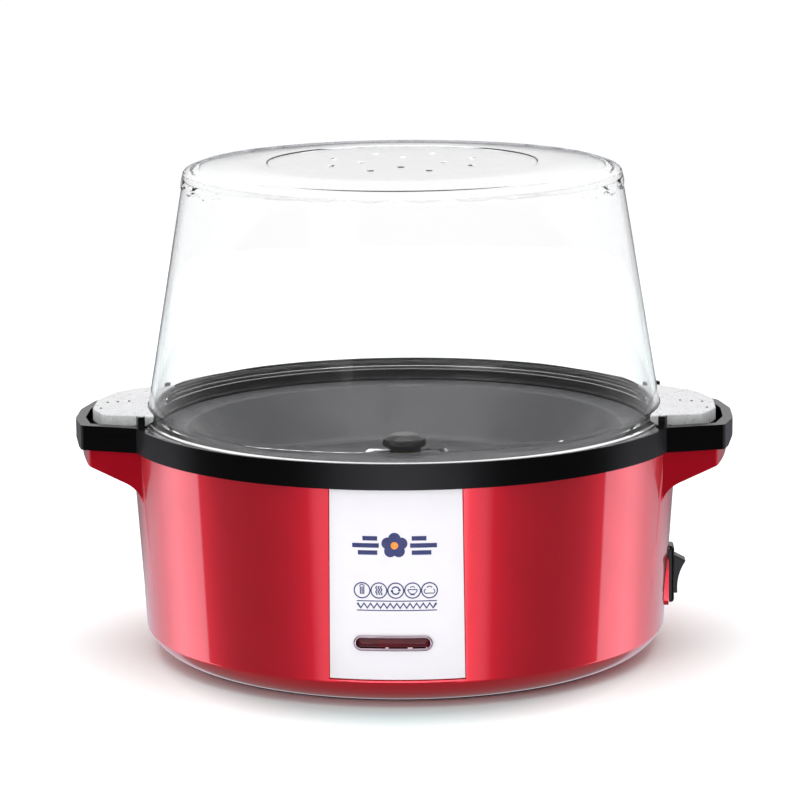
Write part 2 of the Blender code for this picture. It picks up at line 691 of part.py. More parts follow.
def make_switch():
    back, front = SWITCH_BACK_X, SWITCH_BACK_X + SWITCH_PLATE
    half_long, half_wide = SWITCH_LONG / 2, SWITCH_WIDE / 2
    bevel = 0.9 * MM
    plate = [
        (-half_wide, SWITCH_Z - half_long, 1.5 * MM),
        (half_wide, SWITCH_Z - half_long, 1.5 * MM),
        (half_wide, SWITCH_Z + half_long, 1.5 * MM),
        (-half_wide, SWITCH_Z + half_long, 1.5 * MM),
    ]
    frame = prism("switch_frame", rounded(plate, 2), back, front - bevel, "black_plastic", "X")
    raised = rounded(offset_corners(plate, bevel), 2)
    boolean(frame, prism("frame_face", raised, back + bevel, front, along="X"), "UNION")
    box_long, box_wide = half_long - 1.5 * MM, 6.0 * MM
    housing = rectangle(-box_wide, box_wide, SWITCH_Z - box_long, SWITCH_Z + box_long)
    boolean(frame, prism("switch_housing", housing, 128.5 * MM, back + 1 * MM, along="X"), "UNION")
    blades = merged(
        [block_mesh(119 * MM, 129 * MM, -2.4 * MM, 2.4 * MM, z - 0.4 * MM, z + 0.4 * MM)
         for z in (SWITCH_Z - 6 * MM, SWITCH_Z + 6 * MM)]
    )
    boolean(frame, piece("switch_blades", blades), "UNION")
    well = rectangle(-5.2 * MM, 5.2 * MM, SWITCH_Z - 12.3 * MM, SWITCH_Z + 12.3 * MM)
    boolean(frame, prism("switch_well", well, 131 * MM, 150 * MM, along="X"), "DIFFERENCE")
    pivot = Matrix.Translation((ROCKER_PIVOT_X, 0, SWITCH_Z)) @ Matrix.Rotation(math.pi / 2, 4, "X")
    sockets = turned_mesh(disc_profile(1.6 * MM, -8 * MM, 8 * MM), 12)
    sockets_cut = moved_mesh(sockets, pivot)
    boolean(frame, piece("pivot_sockets", sockets_cut), "DIFFERENCE")

    at = (ROCKER_PIVOT_X, 0, SWITCH_Z)
    body = prism_mesh(rocker_outline(), -ROCKER_HALF_WIDE, ROCKER_HALF_WIDE, "Y")
    rocker = piece("switch_rocker", body, "black_plastic", at)
    axle = moved_mesh(
        turned_mesh(disc_profile(1.15 * MM, -5.8 * MM, 5.8 * MM), 12),
        Matrix.Rotation(math.pi / 2, 4, "X"),
    )
    trunnions = piece("rocker_trunnions", axle, at=at)
    boolean(rocker, trunnions, "UNION")
    empty = joint_empty("rocker_axis", at)
    hang_on(empty, rocker, trunnions)
    empty.rotation_euler = (0, ROCKER_REST, 0)


# ---------------------------------------------------------------- pan and heater


def make_pan():
    thick = PAN_THICK
    profile = [
        (BUSH_HOLE_R, COLLAR_Z - thick),
        (11 * MM, COLLAR_Z - thick),
        (15 * MM, PAN_FLOOR_Z - thick),
        (PAN_FLOOR_R + 0.9 * MM, PAN_FLOOR_Z - thick),
        (PAN_MOUTH_R + 0.7 * MM, PAN_RIM_Z - thick),
        (PAN_RIM_R, PAN_RIM_Z - thick),
        (PAN_RIM_R, PAN_RIM_Z),
        (PAN_MOUTH_R - 1 * MM, PAN_RIM_Z),
        (PAN_FLOOR_R, PAN_FLOOR_Z),
        (17 * MM, PAN_FLOOR_Z),
        (13 * MM, COLLAR_Z),
        (BUSH_HOLE_R, COLLAR_Z),
    ]
    turned("heating_pan", profile, "nonstick_pan")
    gasket = tube_profile(LEDGE_R + 0.5 * MM, PAN_RIM_R, LEDGE_Z + GAP, PAN_RIM_Z - thick - GAP)
    turned("pan_gasket", gasket, "silicone")
    bush = [
        (3.9 * MM, 86 * MM),
        (5.9 * MM, 86 * MM),
        (5.9 * MM, COLLAR_Z + GAP),
        (8.5 * MM, COLLAR_Z + GAP),
        (8.5 * MM, COLLAR_Z + 1.3 * MM),
        (3.9 * MM, COLLAR_Z + 1.3 * MM),
    ]
    turned("shaft_bush", bush, "brass", SMALL_SIDES)


def tube_curve(name, points, radius, finish, round_steps=2):
    """A round bar or wire through points, with closed ends."""
    curve = bpy.data.curves.new(name, "CURVE")
    curve.dimensions = "3D"
    curve.bevel_depth = radius
    curve.bevel_resolution = round_steps
    curve.use_fill_caps = True
    curve.render_resolution_u = 0
    spline = curve.splines.new("POLY")
    spline.points.add(len(points) - 1)
    for target, point in zip(spline.points, points):
        target.co = (*point, 1)
    curve.materials.append(material(finish))
    made = bpy.data.objects.new(name, curve)
    bpy.context.scene.collection.objects.link(made)
    return made


def smooth_path(points, per_span=5):
    """A Catmull-Rom curve through points."""
    points = [Vector(p) for p in points]
    padded = [2 * points[0] - points[1], *points, 2 * points[-1] - points[-2]]
    path = []
    for a, b, c, d in zip(padded, padded[1:], padded[2:], padded[3:]):
        for k in range(per_span):
            t = k / per_span
            bend = (2 * a - 5 * b + 4 * c - d) * t * t + (3 * b - a - 3 * c + d) * t * t * t
            path.append((2 * b + (c - a) * t + bend) / 2)
    path.append(points[-1])
    return path


def element_end(side):
    """Where a cold end of the element comes down through the heat shield; side is -1 or 1."""
    return around(ELEMENT_R, side * ELEMENT_GAP)


def make_heater():
    steps = 36
    sweep = math.tau - 2 * ELEMENT_GAP
    ring = [around(ELEMENT_R, ELEMENT_GAP + sweep * k / steps, ELEMENT_Z) for k in range(steps + 1)]
    first, last = element_end(1), element_end(-1)
    drop = [86 * MM, 84 * MM, 64 * MM]
    start = [Vector((first.x + 2 * MM, first.y - 1 * MM * i, z)) for i, z in enumerate(drop)]
    end = [Vector((last.x + 2 * MM, last.y + 1 * MM * i, z)) for i, z in enumerate(drop)]
    start[2].y, end[2].y = start[1].y, end[1].y
    path = list(reversed(start[1:])) + ring[1:-1] + end[1:]
    tube_curve("heating_element", path, ELEMENT_TUBE_R, "steel", 1)
    for index, angle in enumerate(math.radians(a) for a in (60, 180, 300)):
        high = PAN_FLOOR_Z - PAN_THICK - GAP
        low = ELEMENT_Z - ELEMENT_TUBE_R - 1.4 * MM
        reach = ELEMENT_TUBE_R + 0.8 * MM
        sheet = 0.8 * MM
        outline = [
            (-reach - 8 * MM, high),
            (-reach - 8 * MM, high - sheet),
            (-reach - sheet, high - sheet),
            (-reach - sheet, low),
            (reach + sheet, low),
            (reach + sheet, high - sheet),
            (reach + 8 * MM, high - sheet),
            (reach + 8 * MM, high),
            (reach, high),
            (reach, low + sheet),
            (-reach, low + sheet),
            (-reach, high),
        ]
        strap = prism_mesh(outline, -6 * MM, 6 * MM, "Y")
        place = Matrix.Rotation(angle, 4, "Z") @ Matrix.Translation((ELEMENT_R, 0, 0))
        piece(f"element_clamp_{index + 1}", moved_mesh(strap, place), "aluminium")

    floor, top = SHIELD_FLOOR_Z, 87 * MM
    shield_profile = [
        (12 * MM, floor),
        (95 * MM, floor),
        (106 * MM, top - SHIELD_THICK),
        (113 * MM, top - SHIELD_THICK),
        (113 * MM, top),
        (105 * MM, top),
        (94 * MM, floor + SHIELD_THICK),
        (12 * MM, floor + SHIELD_THICK),
    ]
    shield = turned("heat_shield", shield_profile, "aluminium")
    holes = [(start[2].x, start[2].y), (end[2].x, end[2].y)]
    boolean(shield, piece("element_holes", upright_holes(holes, 4.5 * MM, 60 * MM, 80 * MM)), "DIFFERENCE")
    ear_holes = [(side * 53 * MM, ROTOR_AT.y) for side in (-1, 1)]
    boolean(shield, piece("strap_holes", upright_holes(ear_holes, 1.9 * MM, 60 * MM, 80 * MM)), "DIFFERENCE")
    for index in range(3):
        place = around(STANDOFF_PLACE_R, math.radians(30 + 120 * index))
        low, high = floor + SHIELD_THICK + GAP, PAN_FLOOR_Z - PAN_THICK - GAP
        spacer = disc_profile(4 * MM, low, high)
        turned(f"pan_standoff_{index + 1}", spacer, "steel", 6, (place.x, place.y, 0))

    under_pan = PAN_FLOOR_Z - PAN_THICK - GAP
    thermostat = [
        (0, under_pan - 9 * MM),
        (5 * MM, under_pan - 9 * MM),
        (5 * MM, under_pan - 7.5 * MM),
        (8.3 * MM, under_pan - 7.5 * MM),
        (8.3 * MM, under_pan - 2.5 * MM),
        (7.6 * MM, under_pan),
        (0, under_pan),
    ]
    turned("thermostat", thermostat, "ceramic", SMALL_SIDES, (-30 * MM, -18 * MM, 0))
    fuse = turned_mesh([(0, -12 * MM), (0.6 * MM, -12 * MM), (0.6 * MM, -6 * MM), (2 * MM, -5 * MM),
                        (2 * MM, 5 * MM), (0.6 * MM, 6 * MM), (0.6 * MM, 12 * MM), (0, 12 * MM)], 8)
    turn = Matrix.Translation((32 * MM, -20 * MM, under_pan - 2.2 * MM))
    turn = turn @ Matrix.Rotation(math.pi / 2, 4, "Y")
    piece("thermal_fuse", moved_mesh(fuse, turn), "steel")


# ---------------------------------------------------------------- geared motor


def gear_outline(teeth, phase):
    """Slim straight-sided teeth with plenty of backlash; one tooth points along the phase angle."""
    pitch_r = TOOTH_MODULE * teeth / 2
    root_r, tip_r = pitch_r - 0.62 * MM, pitch_r + 0.42 * MM
    root_half, tip_half = 0.40 * MM / root_r, 0.14 * MM / tip_r
    outline = []
    for k in range(teeth):
        middle = phase + math.tau * k / teeth
        for radius, angle in (
            (root_r, middle - root_half),
            (tip_r, middle - tip_half),
            (tip_r, middle + tip_half),
            (root_r, middle + root_half),
        ):
            outline.append((radius * math.cos(angle), radius * math.sin(angle)))
    return outline


def gear_places():
    """Axes of the output, second and first gears and of the rotor, seen from above."""
    output = Vector((0, 0))
    second_r = TOOTH_MODULE * (OUTPUT_TEETH + PINION_TEETH) / 2
    stage_r = TOOTH_MODULE * (WHEEL_TEETH + PINION_TEETH) / 2
    second = Vector((math.cos(GEAR_TWO_ANGLE), math.sin(GEAR_TWO_ANGLE))) * second_r
    to_rotor = ROTOR_AT - second
    side = Vector((-to_rotor.y, to_rotor.x)).normalized() * -1
    height = math.sqrt(stage_r**2 - (to_rotor.length / 2) ** 2)
    first = second + to_rotor / 2 + side * height
    return output, second, first, ROTOR_AT


def angle_to(here, there):
    step = there - here
    return math.atan2(step.y, step.x)


def gap_phase(here, there, teeth):
    """The phase that puts the space between two teeth on the line towards a neighbour."""
    return angle_to(here, there) + math.pi / teeth


def geared_wheel(name, at, wheel, pinion, low_sleeve, bore_r):
    """A wheel with a pinion above it on one sleeve; wheel and pinion are (outline, low, high)."""
    made = prism(name, wheel[0], wheel[1], wheel[2], "gear_plastic", at=(*at, 0))
    upper = prism(f"{name}_pinion", pinion[0], pinion[1] - 0.5 * MM, pinion[2], at=(*at, 0))
    boolean(made, upper, "UNION")
    if low_sleeve < wheel[1]:
        sleeve = disc_profile(1.6 * MM, low_sleeve, wheel[1] + 0.5 * MM)
        boolean(made, turned(f"{name}_sleeve", sleeve, sides=12, at=(*at, 0)), "UNION")
    bore = disc_profile(bore_r, low_sleeve - 5 * MM, pinion[2] + 5 * MM)
    boolean(made, turned(f"{name}_bore", bore, sides=12, at=(*at, 0)), "DIFFERENCE")
    return made


def make_motor():
    output, second, first, rotor_at = gear_places()
    can_floor = MOTOR_LOW_Z + 0.8 * MM
    can_profile = [
        (0, MOTOR_LOW_Z),
        (MOTOR_R, MOTOR_LOW_Z),
        (MOTOR_R, COVER_Z - GAP),
        (MOTOR_R - 0.8 * MM, COVER_Z - GAP),
        (MOTOR_R - 0.8 * MM, can_floor),
        (PIN_R, can_floor),
        (PIN_R, LAYER_ONE_Z + LAYER_THICK + 0.5 * MM),
        (0, LAYER_ONE_Z + LAYER_THICK + 0.5 * MM),
    ]
    turned("motor_can", can_profile, "steel", 24, (*rotor_at, 0))
    coil = tube_profile(10.5 * MM, 23.2 * MM, can_floor + GAP, GEAR_PLATE_Z - GAP)
    turned("motor_coil", coil, "copper_coil", 24, (*rotor_at, 0))

    plate_top = GEAR_PLATE_Z + 1 * MM
    plate = tube_profile(3.6 * MM, 23.4 * MM, GEAR_PLATE_Z, plate_top)
    gear_plate = turned("gear_plate", plate, "steel", 24, (*rotor_at, 0))
    pins = merged(
        [
            upright_holes([first], PIN_R, plate_top - 0.5 * MM, LAYER_TWO_Z + LAYER_THICK + 0.4 * MM, 12),
            upright_holes([second], PIN_R, plate_top - 0.5 * MM, COVER_Z - 0.4 * MM, 12),
        ]
    )
    boolean(gear_plate, piece("gear_pins", pins), "UNION")

    bore_r = PIN_R + 0.35 * MM
    rotor_phase = gap_phase(rotor_at, first, PINION_TEETH)
    pinion = gear_outline(PINION_TEETH, rotor_phase)
    magnet = disc_profile(8.5 * MM, can_floor + 1 * MM, GEAR_PLATE_Z - 1 * MM)
    rotor = turned("motor_rotor", magnet, "gear_plastic", 24, (*rotor_at, 0))
    teeth_top = LAYER_ONE_Z + LAYER_THICK
    neck = prism("rotor_pinion", pinion, GEAR_PLATE_Z - 1.5 * MM, teeth_top, at=(*rotor_at, 0))
    boolean(rotor, neck, "UNION")
    bore = disc_profile(bore_r, MOTOR_LOW_Z, COVER_Z)
    rotor_bore = turned("rotor_bore", bore, sides=12, at=(*rotor_at, 0))
    boolean(rotor, rotor_bore, "DIFFERENCE")

    one = geared_wheel(
        "gear_first",
        first,
        (gear_outline(WHEEL_TEETH, angle_to(first, rotor_at)), LAYER_ONE_Z, LAYER_ONE_Z + LAYER_THICK),
        (
            gear_outline(PINION_TEETH, gap_phase(first, second, PINION_TEETH)),
            LAYER_ONE_Z + LAYER_THICK,
            LAYER_TWO_Z + LAYER_THICK,
        ),
        LAYER_ONE_Z,
        bore_r,
    )
    two = geared_wheel(
        "gear_second",
        second,
        (gear_outline(WHEEL_TEETH, angle_to(second, first)), LAYER_TWO_Z, LAYER_TWO_Z + LAYER_THICK),
        (
            gear_outline(PINION_TEETH, gap_phase(second, output, PINION_TEETH)),
            LAYER_TWO_Z + LAYER_THICK,
            LAYER_THREE_Z + LAYER_THICK,
        ),
        LAYER_ONE_Z,
        bore_r,
    )
    wheel = gear_outline(OUTPUT_TEETH, angle_to(output, second))
    drive = prism("drive_shaft", wheel, LAYER_THREE_Z, LAYER_THREE_Z + LAYER_THICK, "steel", at=(*output, 0))
    bar_mesh = turned_mesh(disc_profile(SHAFT_R, LAYER_THREE_Z + 1 * MM, SHAFT_TOP_Z), SMALL_SIDES)
    bar = piece("output_bar", bar_mesh)
    boolean(drive, bar, "UNION")
    flat = block("shaft_flat", 2.6 * MM, 8 * MM, -8 * MM, 8 * MM, COLLAR_Z + 2 * MM, SHAFT_TOP_Z + 5 * MM)
    boolean(drive, flat, "DIFFERENCE")

    moving = {
        "rotor_axis": (rotor_at, [rotor, neck, rotor_bore]),
        "gear_first_axis": (first, [one]),
        "gear_second_axis": (second, [two]),
        "drive_axis": (output, [drive, bar, flat]),
    }
    for name, (place, pieces) in moving.items():
        hang_on(joint_empty(name, (*place, COVER_Z)), *pieces)
    make_motor_mount(rotor_at)


def make_motor_mount(rotor_at):
    """The cover with its two ears, the strap above it, and the screws that hold them."""
    ears = [
        (-MOTOR_EAR_X - 5 * MM, -5 * MM, 4 * MM),
        (MOTOR_EAR_X + 5 * MM, -5 * MM, 4 * MM),
        (MOTOR_EAR_X + 5 * MM, 5 * MM, 4 * MM),
        (-MOTOR_EAR_X - 5 * MM, 5 * MM, 4 * MM),
    ]
    lid = disc_profile(MOTOR_R, COVER_Z, COVER_Z + 1 * MM)
    cover = turned("gearbox_cover", lid, "steel", 24, (*rotor_at, 0))
    ear_plate = prism("cover_ears", rounded(ears), COVER_Z, COVER_Z + 1 * MM, at=(*rotor_at, 0))
    boolean(cover, ear_plate, "UNION")
    screw_places = [(side * MOTOR_EAR_X, rotor_at.y) for side in (-1, 1)]
    holes = merged(
        [
            upright_holes([(0, 0)], SHAFT_R + 0.5 * MM, 40 * MM, 70 * MM),
            upright_holes(screw_places, 1.9 * MM, 40 * MM, 70 * MM),
        ]
    )
    shaft_and_screws = piece("mount_holes", holes)
    boolean(cover, shaft_and_screws, "DIFFERENCE")

    thick, leg_x, foot_x = 1.2 * MM, 44 * MM, 58 * MM
    high = SHIELD_FLOOR_Z - GAP
    profile = [
        (-foot_x, high),
        (-foot_x, high - thick),
        (-leg_x, high - thick),
        (-leg_x, BRACKET_Z),
        (leg_x, BRACKET_Z),
        (leg_x, high - thick),
        (foot_x, high - thick),
        (foot_x, high),
        (leg_x - thick, high),
        (leg_x - thick, BRACKET_Z + thick),
        (-leg_x + thick, BRACKET_Z + thick),
        (-leg_x + thick, high),
    ]
    strap = prism("motor_bracket", profile, -8 * MM, 32 * MM, "steel", "Y")
    boolean(strap, shaft_and_screws, "DIFFERENCE")
    foot_places = [(side * 53 * MM, rotor_at.y) for side in (-1, 1)]
    feet_holes = upright_holes(foot_places, 1.9 * MM, 60 * MM, 80 * MM)
    boolean(strap, piece("strap_feet_holes", feet_holes), "DIFFERENCE")
    for index, place in enumerate(screw_places, 1):
        screw(f"motor_screw_{index}", place, 53.5 * MM, 61 * MM)
    for index, place in enumerate(foot_places, 1):
        screw(f"bracket_screw_{index}", place, 68.4 * MM, 76 * MM)


# ---------------------------------------------------------------- stirrer


def make_stirrer():
    hub_low = COLLAR_Z + 1.7 * MM
    hub_profile = [
        (0, SHAFT_TOP_Z + 0.4 * MM),
        (SHAFT_R + 0.5 * MM, SHAFT_TOP_Z + 0.4 * MM),
        (SHAFT_R + 0.5 * MM, hub_low),
        (9 * MM, hub_low),
        (9 * MM, 107 * MM),
        (0, 107 * MM),
    ]
    pieces = [turned("stirrer_hub", hub_profile, "black_plastic", 16)]
    knob = [
        (0, 107.3 * MM),
        (11 * MM, 107.3 * MM),
        (12 * MM, 108.5 * MM),
        (11.2 * MM, 111.5 * MM),
        (7 * MM, 113.6 * MM),
        (0, 114.2 * MM),
    ]
    pieces.append(turned("stirrer_cap", knob, "black_plastic", 16))
    high, low, tip = 102.3 * MM, PAN_FLOOR_Z + 3.2 * MM, 98 * MM
    route = [(9.4, high), (15, high), (19, high - 1 * MM), (24, low + 1 * MM), (28, low), (84, low),
             (88, low + 1 * MM), (91, tip)]
    for index, angle in enumerate((math.radians(20), math.radians(200)), 1):
        points = [around(reach * MM, angle, z) for reach, z in route]
        pieces.append(tube_curve(f"stirrer_arm_{index}", points, 1.9 * MM, "steel", 1))
    hang_on(joint_empty("stirrer_axis", (0, 0, SHAFT_TOP_Z)), *pieces)


# ---------------------------------------------------------------- base and wiring


def make_base():
    plate = turned("base_plate", disc_profile(PLATE_R, PLATE_LOW_Z, PLATE_TOP_Z), "black_plastic")
    slots = []
    for k in range(12):
        slots.append(radial_block(math.tau * k / 12, 44 * MM, 72 * MM, 2.6 * MM, 0, 10 * MM))
    boolean(plate, piece("base_vents", merged(slots)), "DIFFERENCE")
    foot_places = [around(FOOT_PLACE_R, angle) for angle in QUARTERS]
    screw_places = [around(BASE_SCREW_PLACE_R, angle) for angle in QUARTERS]
    boolean(plate, piece("foot_holes", upright_holes(foot_places, 3.3 * MM, 0, 10 * MM)), "DIFFERENCE")
    boolean(plate, piece("base_holes", upright_holes(screw_places, 1.8 * MM, 0, 10 * MM)), "DIFFERENCE")
    foot = [
        (0, 0),
        (8.4 * MM, 0),
        (9 * MM, 0.6 * MM),
        (9 * MM, PLATE_LOW_Z - GAP),
        (3 * MM, PLATE_LOW_Z - GAP),
        (3 * MM, PLATE_TOP_Z + GAP),
        (4 * MM, PLATE_TOP_Z + GAP),
        (2.4 * MM, 8 * MM),
        (0, 8 * MM),
    ]
    for index, place in enumerate(foot_places, 1):
        turned(f"foot_{index}", foot, "rubber", SMALL_SIDES, place)
    for index, place in enumerate(screw_places, 1):
        screw(f"base_screw_{index}", place, 0.6 * MM, 16 * MM, head_high=PLATE_LOW_Z - GAP)

    gland = [
        (3.6 * MM, 129 * MM),
        (9 * MM, 129 * MM),
        (9 * MM, 135.4 * MM),
        (7 * MM, 135.4 * MM),
        (7 * MM, 140.6 * MM),
        (10 * MM, 140.6 * MM),
        (10 * MM, 143 * MM),
        (6.4 * MM, 147.5 * MM),
        (3.6 * MM, 147.5 * MM),
    ]
    piece("cord_gland", moved_mesh(turned_mesh(gland, SMALL_SIDES), gland_matrix()), "black_plastic")

    low, notch, high = PLATE_TOP_Z + GAP, 13 * MM, 17 * MM
    comb = [(-18 * MM, low), (18 * MM, low)]
    for tooth in (2, 1, 0):
        left = -18 * MM + tooth * 12 * MM
        comb += [(left + 11 * MM, notch), (left + 11 * MM, high)]
        comb += [(left + 1 * MM, high), (left + 1 * MM, notch)]
    comb = comb[:2] + [(18 * MM, notch)] + comb[2:] + [(-18 * MM, notch)]
    prism("terminal_block", comb, 98 * MM, 112 * MM, "ceramic", "Y")


def make_leads():
    plus, minus = element_end(1), element_end(-1)
    routes = {
        "lead_supply": [(14, 97, 10), (42, 80, 14), (88, 46, 22), (106, 14, 30), (118, 3, 34)],
        "lead_switched": [
            (118, -3, 42), (104, -14, 50), (84, -16, 56),
            (1000 * minus.x + 2, 1000 * minus.y + 1, 63),
        ],
        "lead_return": [(1000 * plus.x + 2, 1000 * plus.y - 1, 63), (62, 24, 52), (44, 62, 34), (8, 97, 12)],
        "lead_lamp": [
            (-4, -125, 34), (-16, -100, 24), (-62, -58, 14),
            (-84, 10, 12), (-50, 74, 11), (-14, 97, 10),
        ],
        "lead_motor": [(0, 37.6, 45), (-1, 52, 40), (-6, 80, 22), (-6, 97, 12)],
    }
    for name, route in routes.items():
        points = smooth_path([(x * MM, y * MM, z * MM) for x, y, z in route])
        tube_curve(name, points, 1.1 * MM, "lead_sleeve", 1)


# ---------------------------------------------------------------- dome


def dome_wall_radius(z):
    return DOME_FOOT_R - (z - RIM_TOP_Z) * DOME_TAPER


def tab_corners(inset):
    upper = [TAB_END, TAB_SHOULDER, (*TAB_ROOT, 0)]
    lower = [(x, -y, radius) for x, y, radius in reversed(upper)]
    return offset_corners(lower + upper, inset)


def make_dome():
    top = TOTAL_HEIGHT
    fillet_r = 8 * MM
    fillet_centre = (dome_wall_radius(136 * MM) + fillet_r + 0.1 * MM, RIM_TOP_Z - MM + fillet_r)
    fillet = arc(fillet_centre, fillet_r, math.radians(184), math.radians(270), 3)
    outer = [
        (0, DOME_SKIRT_Z),
        (RIM_BORE_R - 0.7 * MM, DOME_SKIRT_Z),
        (RIM_BORE_R - 0.7 * MM, REBATE_Z + GAP),
        (DOME_FLANGE_R, REBATE_Z + GAP),
        (DOME_FLANGE_R, RIM_TOP_Z - MM),
        *reversed(fillet),
        (dome_wall_radius(248 * MM), 248 * MM),
        (115.4 * MM, 256 * MM),
        (112.2 * MM, 258.6 * MM),
        (96 * MM, top),
        (71.6 * MM, top),
        (70.8 * MM, top - 0.8 * MM),
        (0, top - 0.8 * MM),
    ]
    dome = turned("dome_cover", outer, "clear_plastic")
    low, tab_floor = 115 * MM, TAB_TOP_Z - DOME_WALL
    tabs = both_ends(prism_mesh(rounded(tab_corners(0)), TAB_LOW_Z, TAB_TOP_Z))
    boolean(dome, piece("dome_tabs", drooped(tabs)), "UNION")
    hollow = [
        (0, low),
        (RIM_BORE_R - 0.7 * MM - DOME_WALL, low),
        (RIM_BORE_R - 0.7 * MM - DOME_WALL, 132 * MM),
        (dome_wall_radius(248 * MM) - DOME_WALL, 248 * MM),
        (113.3 * MM, 254.6 * MM),
        (111.2 * MM, 256.4 * MM),
        (95.6 * MM, top - DOME_WALL - 0.6 * MM),
        (0, top - DOME_WALL - 0.8 * MM),
    ]
    boolean(dome, turned("dome_hollow", hollow), "DIFFERENCE")
    under_mesh = both_ends(prism_mesh(rounded(tab_corners(DOME_WALL)), 112 * MM, tab_floor))
    under = piece("tab_hollows", drooped(under_mesh))
    limit = turned("tab_hollow_limit", disc_profile(139.5 * MM, 100 * MM, 150 * MM))
    boolean(under, limit, "DIFFERENCE")
    boolean(dome, under, "DIFFERENCE")
    air = 0.4 * MM
    notches = [
        radial_block(a, LUG_IN_R - air, 155 * MM, LUG_HALF_WIDE + air, 115 * MM, 140 * MM)
        for a in LUG_ANGLES
    ]
    boolean(dome, piece("lug_notches", merged(notches)), "DIFFERENCE")
    vents = [around(22 * MM, math.tau * k / 4) for k in range(4)]
    vents += [around(40 * MM, math.tau * (k + 0.5) / 8) for k in range(8)]
    boolean(dome, piece("vent_cutters", upright_holes(vents, VENT_R, 250 * MM, 270 * MM, 8)), "DIFFERENCE")


def main():
    for old in list(bpy.data.objects):
        bpy.data.objects.remove(old, do_unlink=True)
    make_body()
    make_rim()
    make_panel()
    make_indicator()
    make_switch()
    make_pan()
    make_heater()
    make_motor()
    make_stirrer()
    make_base()
    make_leads()
    make_dome()


main()
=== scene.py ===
"""Looks of the stirring popcorn maker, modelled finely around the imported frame. Metres, +Z up."""

import json
import math

import bmesh
import bpy
from mathutils import Matrix, Vector


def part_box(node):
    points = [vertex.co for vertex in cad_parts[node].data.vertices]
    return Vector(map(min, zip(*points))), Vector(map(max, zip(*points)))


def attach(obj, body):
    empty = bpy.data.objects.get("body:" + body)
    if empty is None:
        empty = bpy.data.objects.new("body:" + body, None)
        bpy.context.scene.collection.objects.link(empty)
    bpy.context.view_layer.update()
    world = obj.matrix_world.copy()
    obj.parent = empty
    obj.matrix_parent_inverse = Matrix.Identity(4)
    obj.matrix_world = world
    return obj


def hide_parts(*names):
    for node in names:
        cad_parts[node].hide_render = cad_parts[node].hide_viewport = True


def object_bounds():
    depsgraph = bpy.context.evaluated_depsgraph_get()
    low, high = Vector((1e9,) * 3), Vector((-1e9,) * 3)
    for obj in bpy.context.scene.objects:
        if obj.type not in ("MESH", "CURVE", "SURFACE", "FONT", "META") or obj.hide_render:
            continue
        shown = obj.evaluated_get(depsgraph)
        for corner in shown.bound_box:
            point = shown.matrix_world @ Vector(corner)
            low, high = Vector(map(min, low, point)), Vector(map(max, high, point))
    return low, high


MM = 0.001
SIDES = 192  # flats round the large turned pieces
SMALL_SIDES = 48

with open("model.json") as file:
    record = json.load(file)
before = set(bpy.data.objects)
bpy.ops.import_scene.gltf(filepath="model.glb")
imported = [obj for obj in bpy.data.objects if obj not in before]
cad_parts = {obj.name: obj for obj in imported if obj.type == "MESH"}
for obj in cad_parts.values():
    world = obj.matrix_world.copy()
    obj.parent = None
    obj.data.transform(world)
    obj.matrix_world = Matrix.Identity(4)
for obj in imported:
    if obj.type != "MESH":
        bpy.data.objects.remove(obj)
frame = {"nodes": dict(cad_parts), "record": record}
NODES = frame["nodes"]
CAD_LOW, CAD_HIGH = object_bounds()

# Places that come from the frame
HALF_WIDTH = CAD_HIGH.x
TOP_Z = CAD_HIGH.z
RIM_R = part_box("rim_ring")[1].y
PANEL_LOW_Z, PANEL_TOP_Z = (corner.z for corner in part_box("front_panel"))
PANEL_HALF_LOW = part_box("front_panel")[1].x
FLANGE_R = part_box("dome_cover")[1].y
PAN_RIM_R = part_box("heating_pan")[1].y
PAN_RIM_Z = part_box("heating_pan")[1].z

# Red body
BODY_LOW_Z, BODY_LOW_R = 13.7 * MM, 139.3 * MM  # the crease above the rounded foot
BODY_HIGH_Z, BODY_HIGH_R = 115.0 * MM, 145.0 * MM
BODY_TOP_Z = 119.8 * MM
BODY_SLOPE = (BODY_HIGH_R - BODY_LOW_R) / (BODY_HIGH_Z - BODY_LOW_Z)
BODY_WALL = 3.0 * MM
FOOT_ARC_R = 23.3 * MM
FOOT_ARC_FROM, FOOT_ARC_TO = math.radians(25), math.radians(75)
STRIP_HALF, STRIP_PROUD = 48 * MM, 0.9 * MM

# Black rim and handles
RIM_TOP_Z, RIM_LOW_Z, RIM_UNDER_Z = 128.0 * MM, 114.8 * MM, 113.0 * MM
REBATE_R, REBATE_Z = 147.2 * MM, 124.5 * MM
RIM_BORE_R = 136.6 * MM
LEDGE_Z, LEDGE_R = 116.0 * MM, 127.0 * MM
GROOVE_IN_R, GROOVE_OUT_R, GROOVE_TOP_Z = 139.0 * MM, 146.2 * MM, 120.3 * MM
HANDLE_ROOT = (138.2 * MM, 55.8 * MM)
HANDLE_SHOULDER = (169.5 * MM, 35.5 * MM, 6 * MM)
HANDLE_END = (HALF_WIDTH, 13.0 * MM, 25 * MM)
HANDLE_WALL, HANDLE_FLOOR_Z = 5.4 * MM, 119.5 * MM
DROOP = 0.073  # fall of the handles per metre outwards
RED_INSET = 3.4 * MM
RED_SHOULDER = (165.8 * MM, 33.2 * MM, 5 * MM)
RED_ROOT_X, RED_HALF_WIDE = 136.6 * MM, 47.6 * MM
LUG_ANGLES = [math.radians(angle) for angle in (19.6, 160.4, 199.6, 340.4)]
LUG_IN_R, LUG_HALF_WIDE, LUG_TOP_Z = 142 * MM, 3.6 * MM, 133.2 * MM

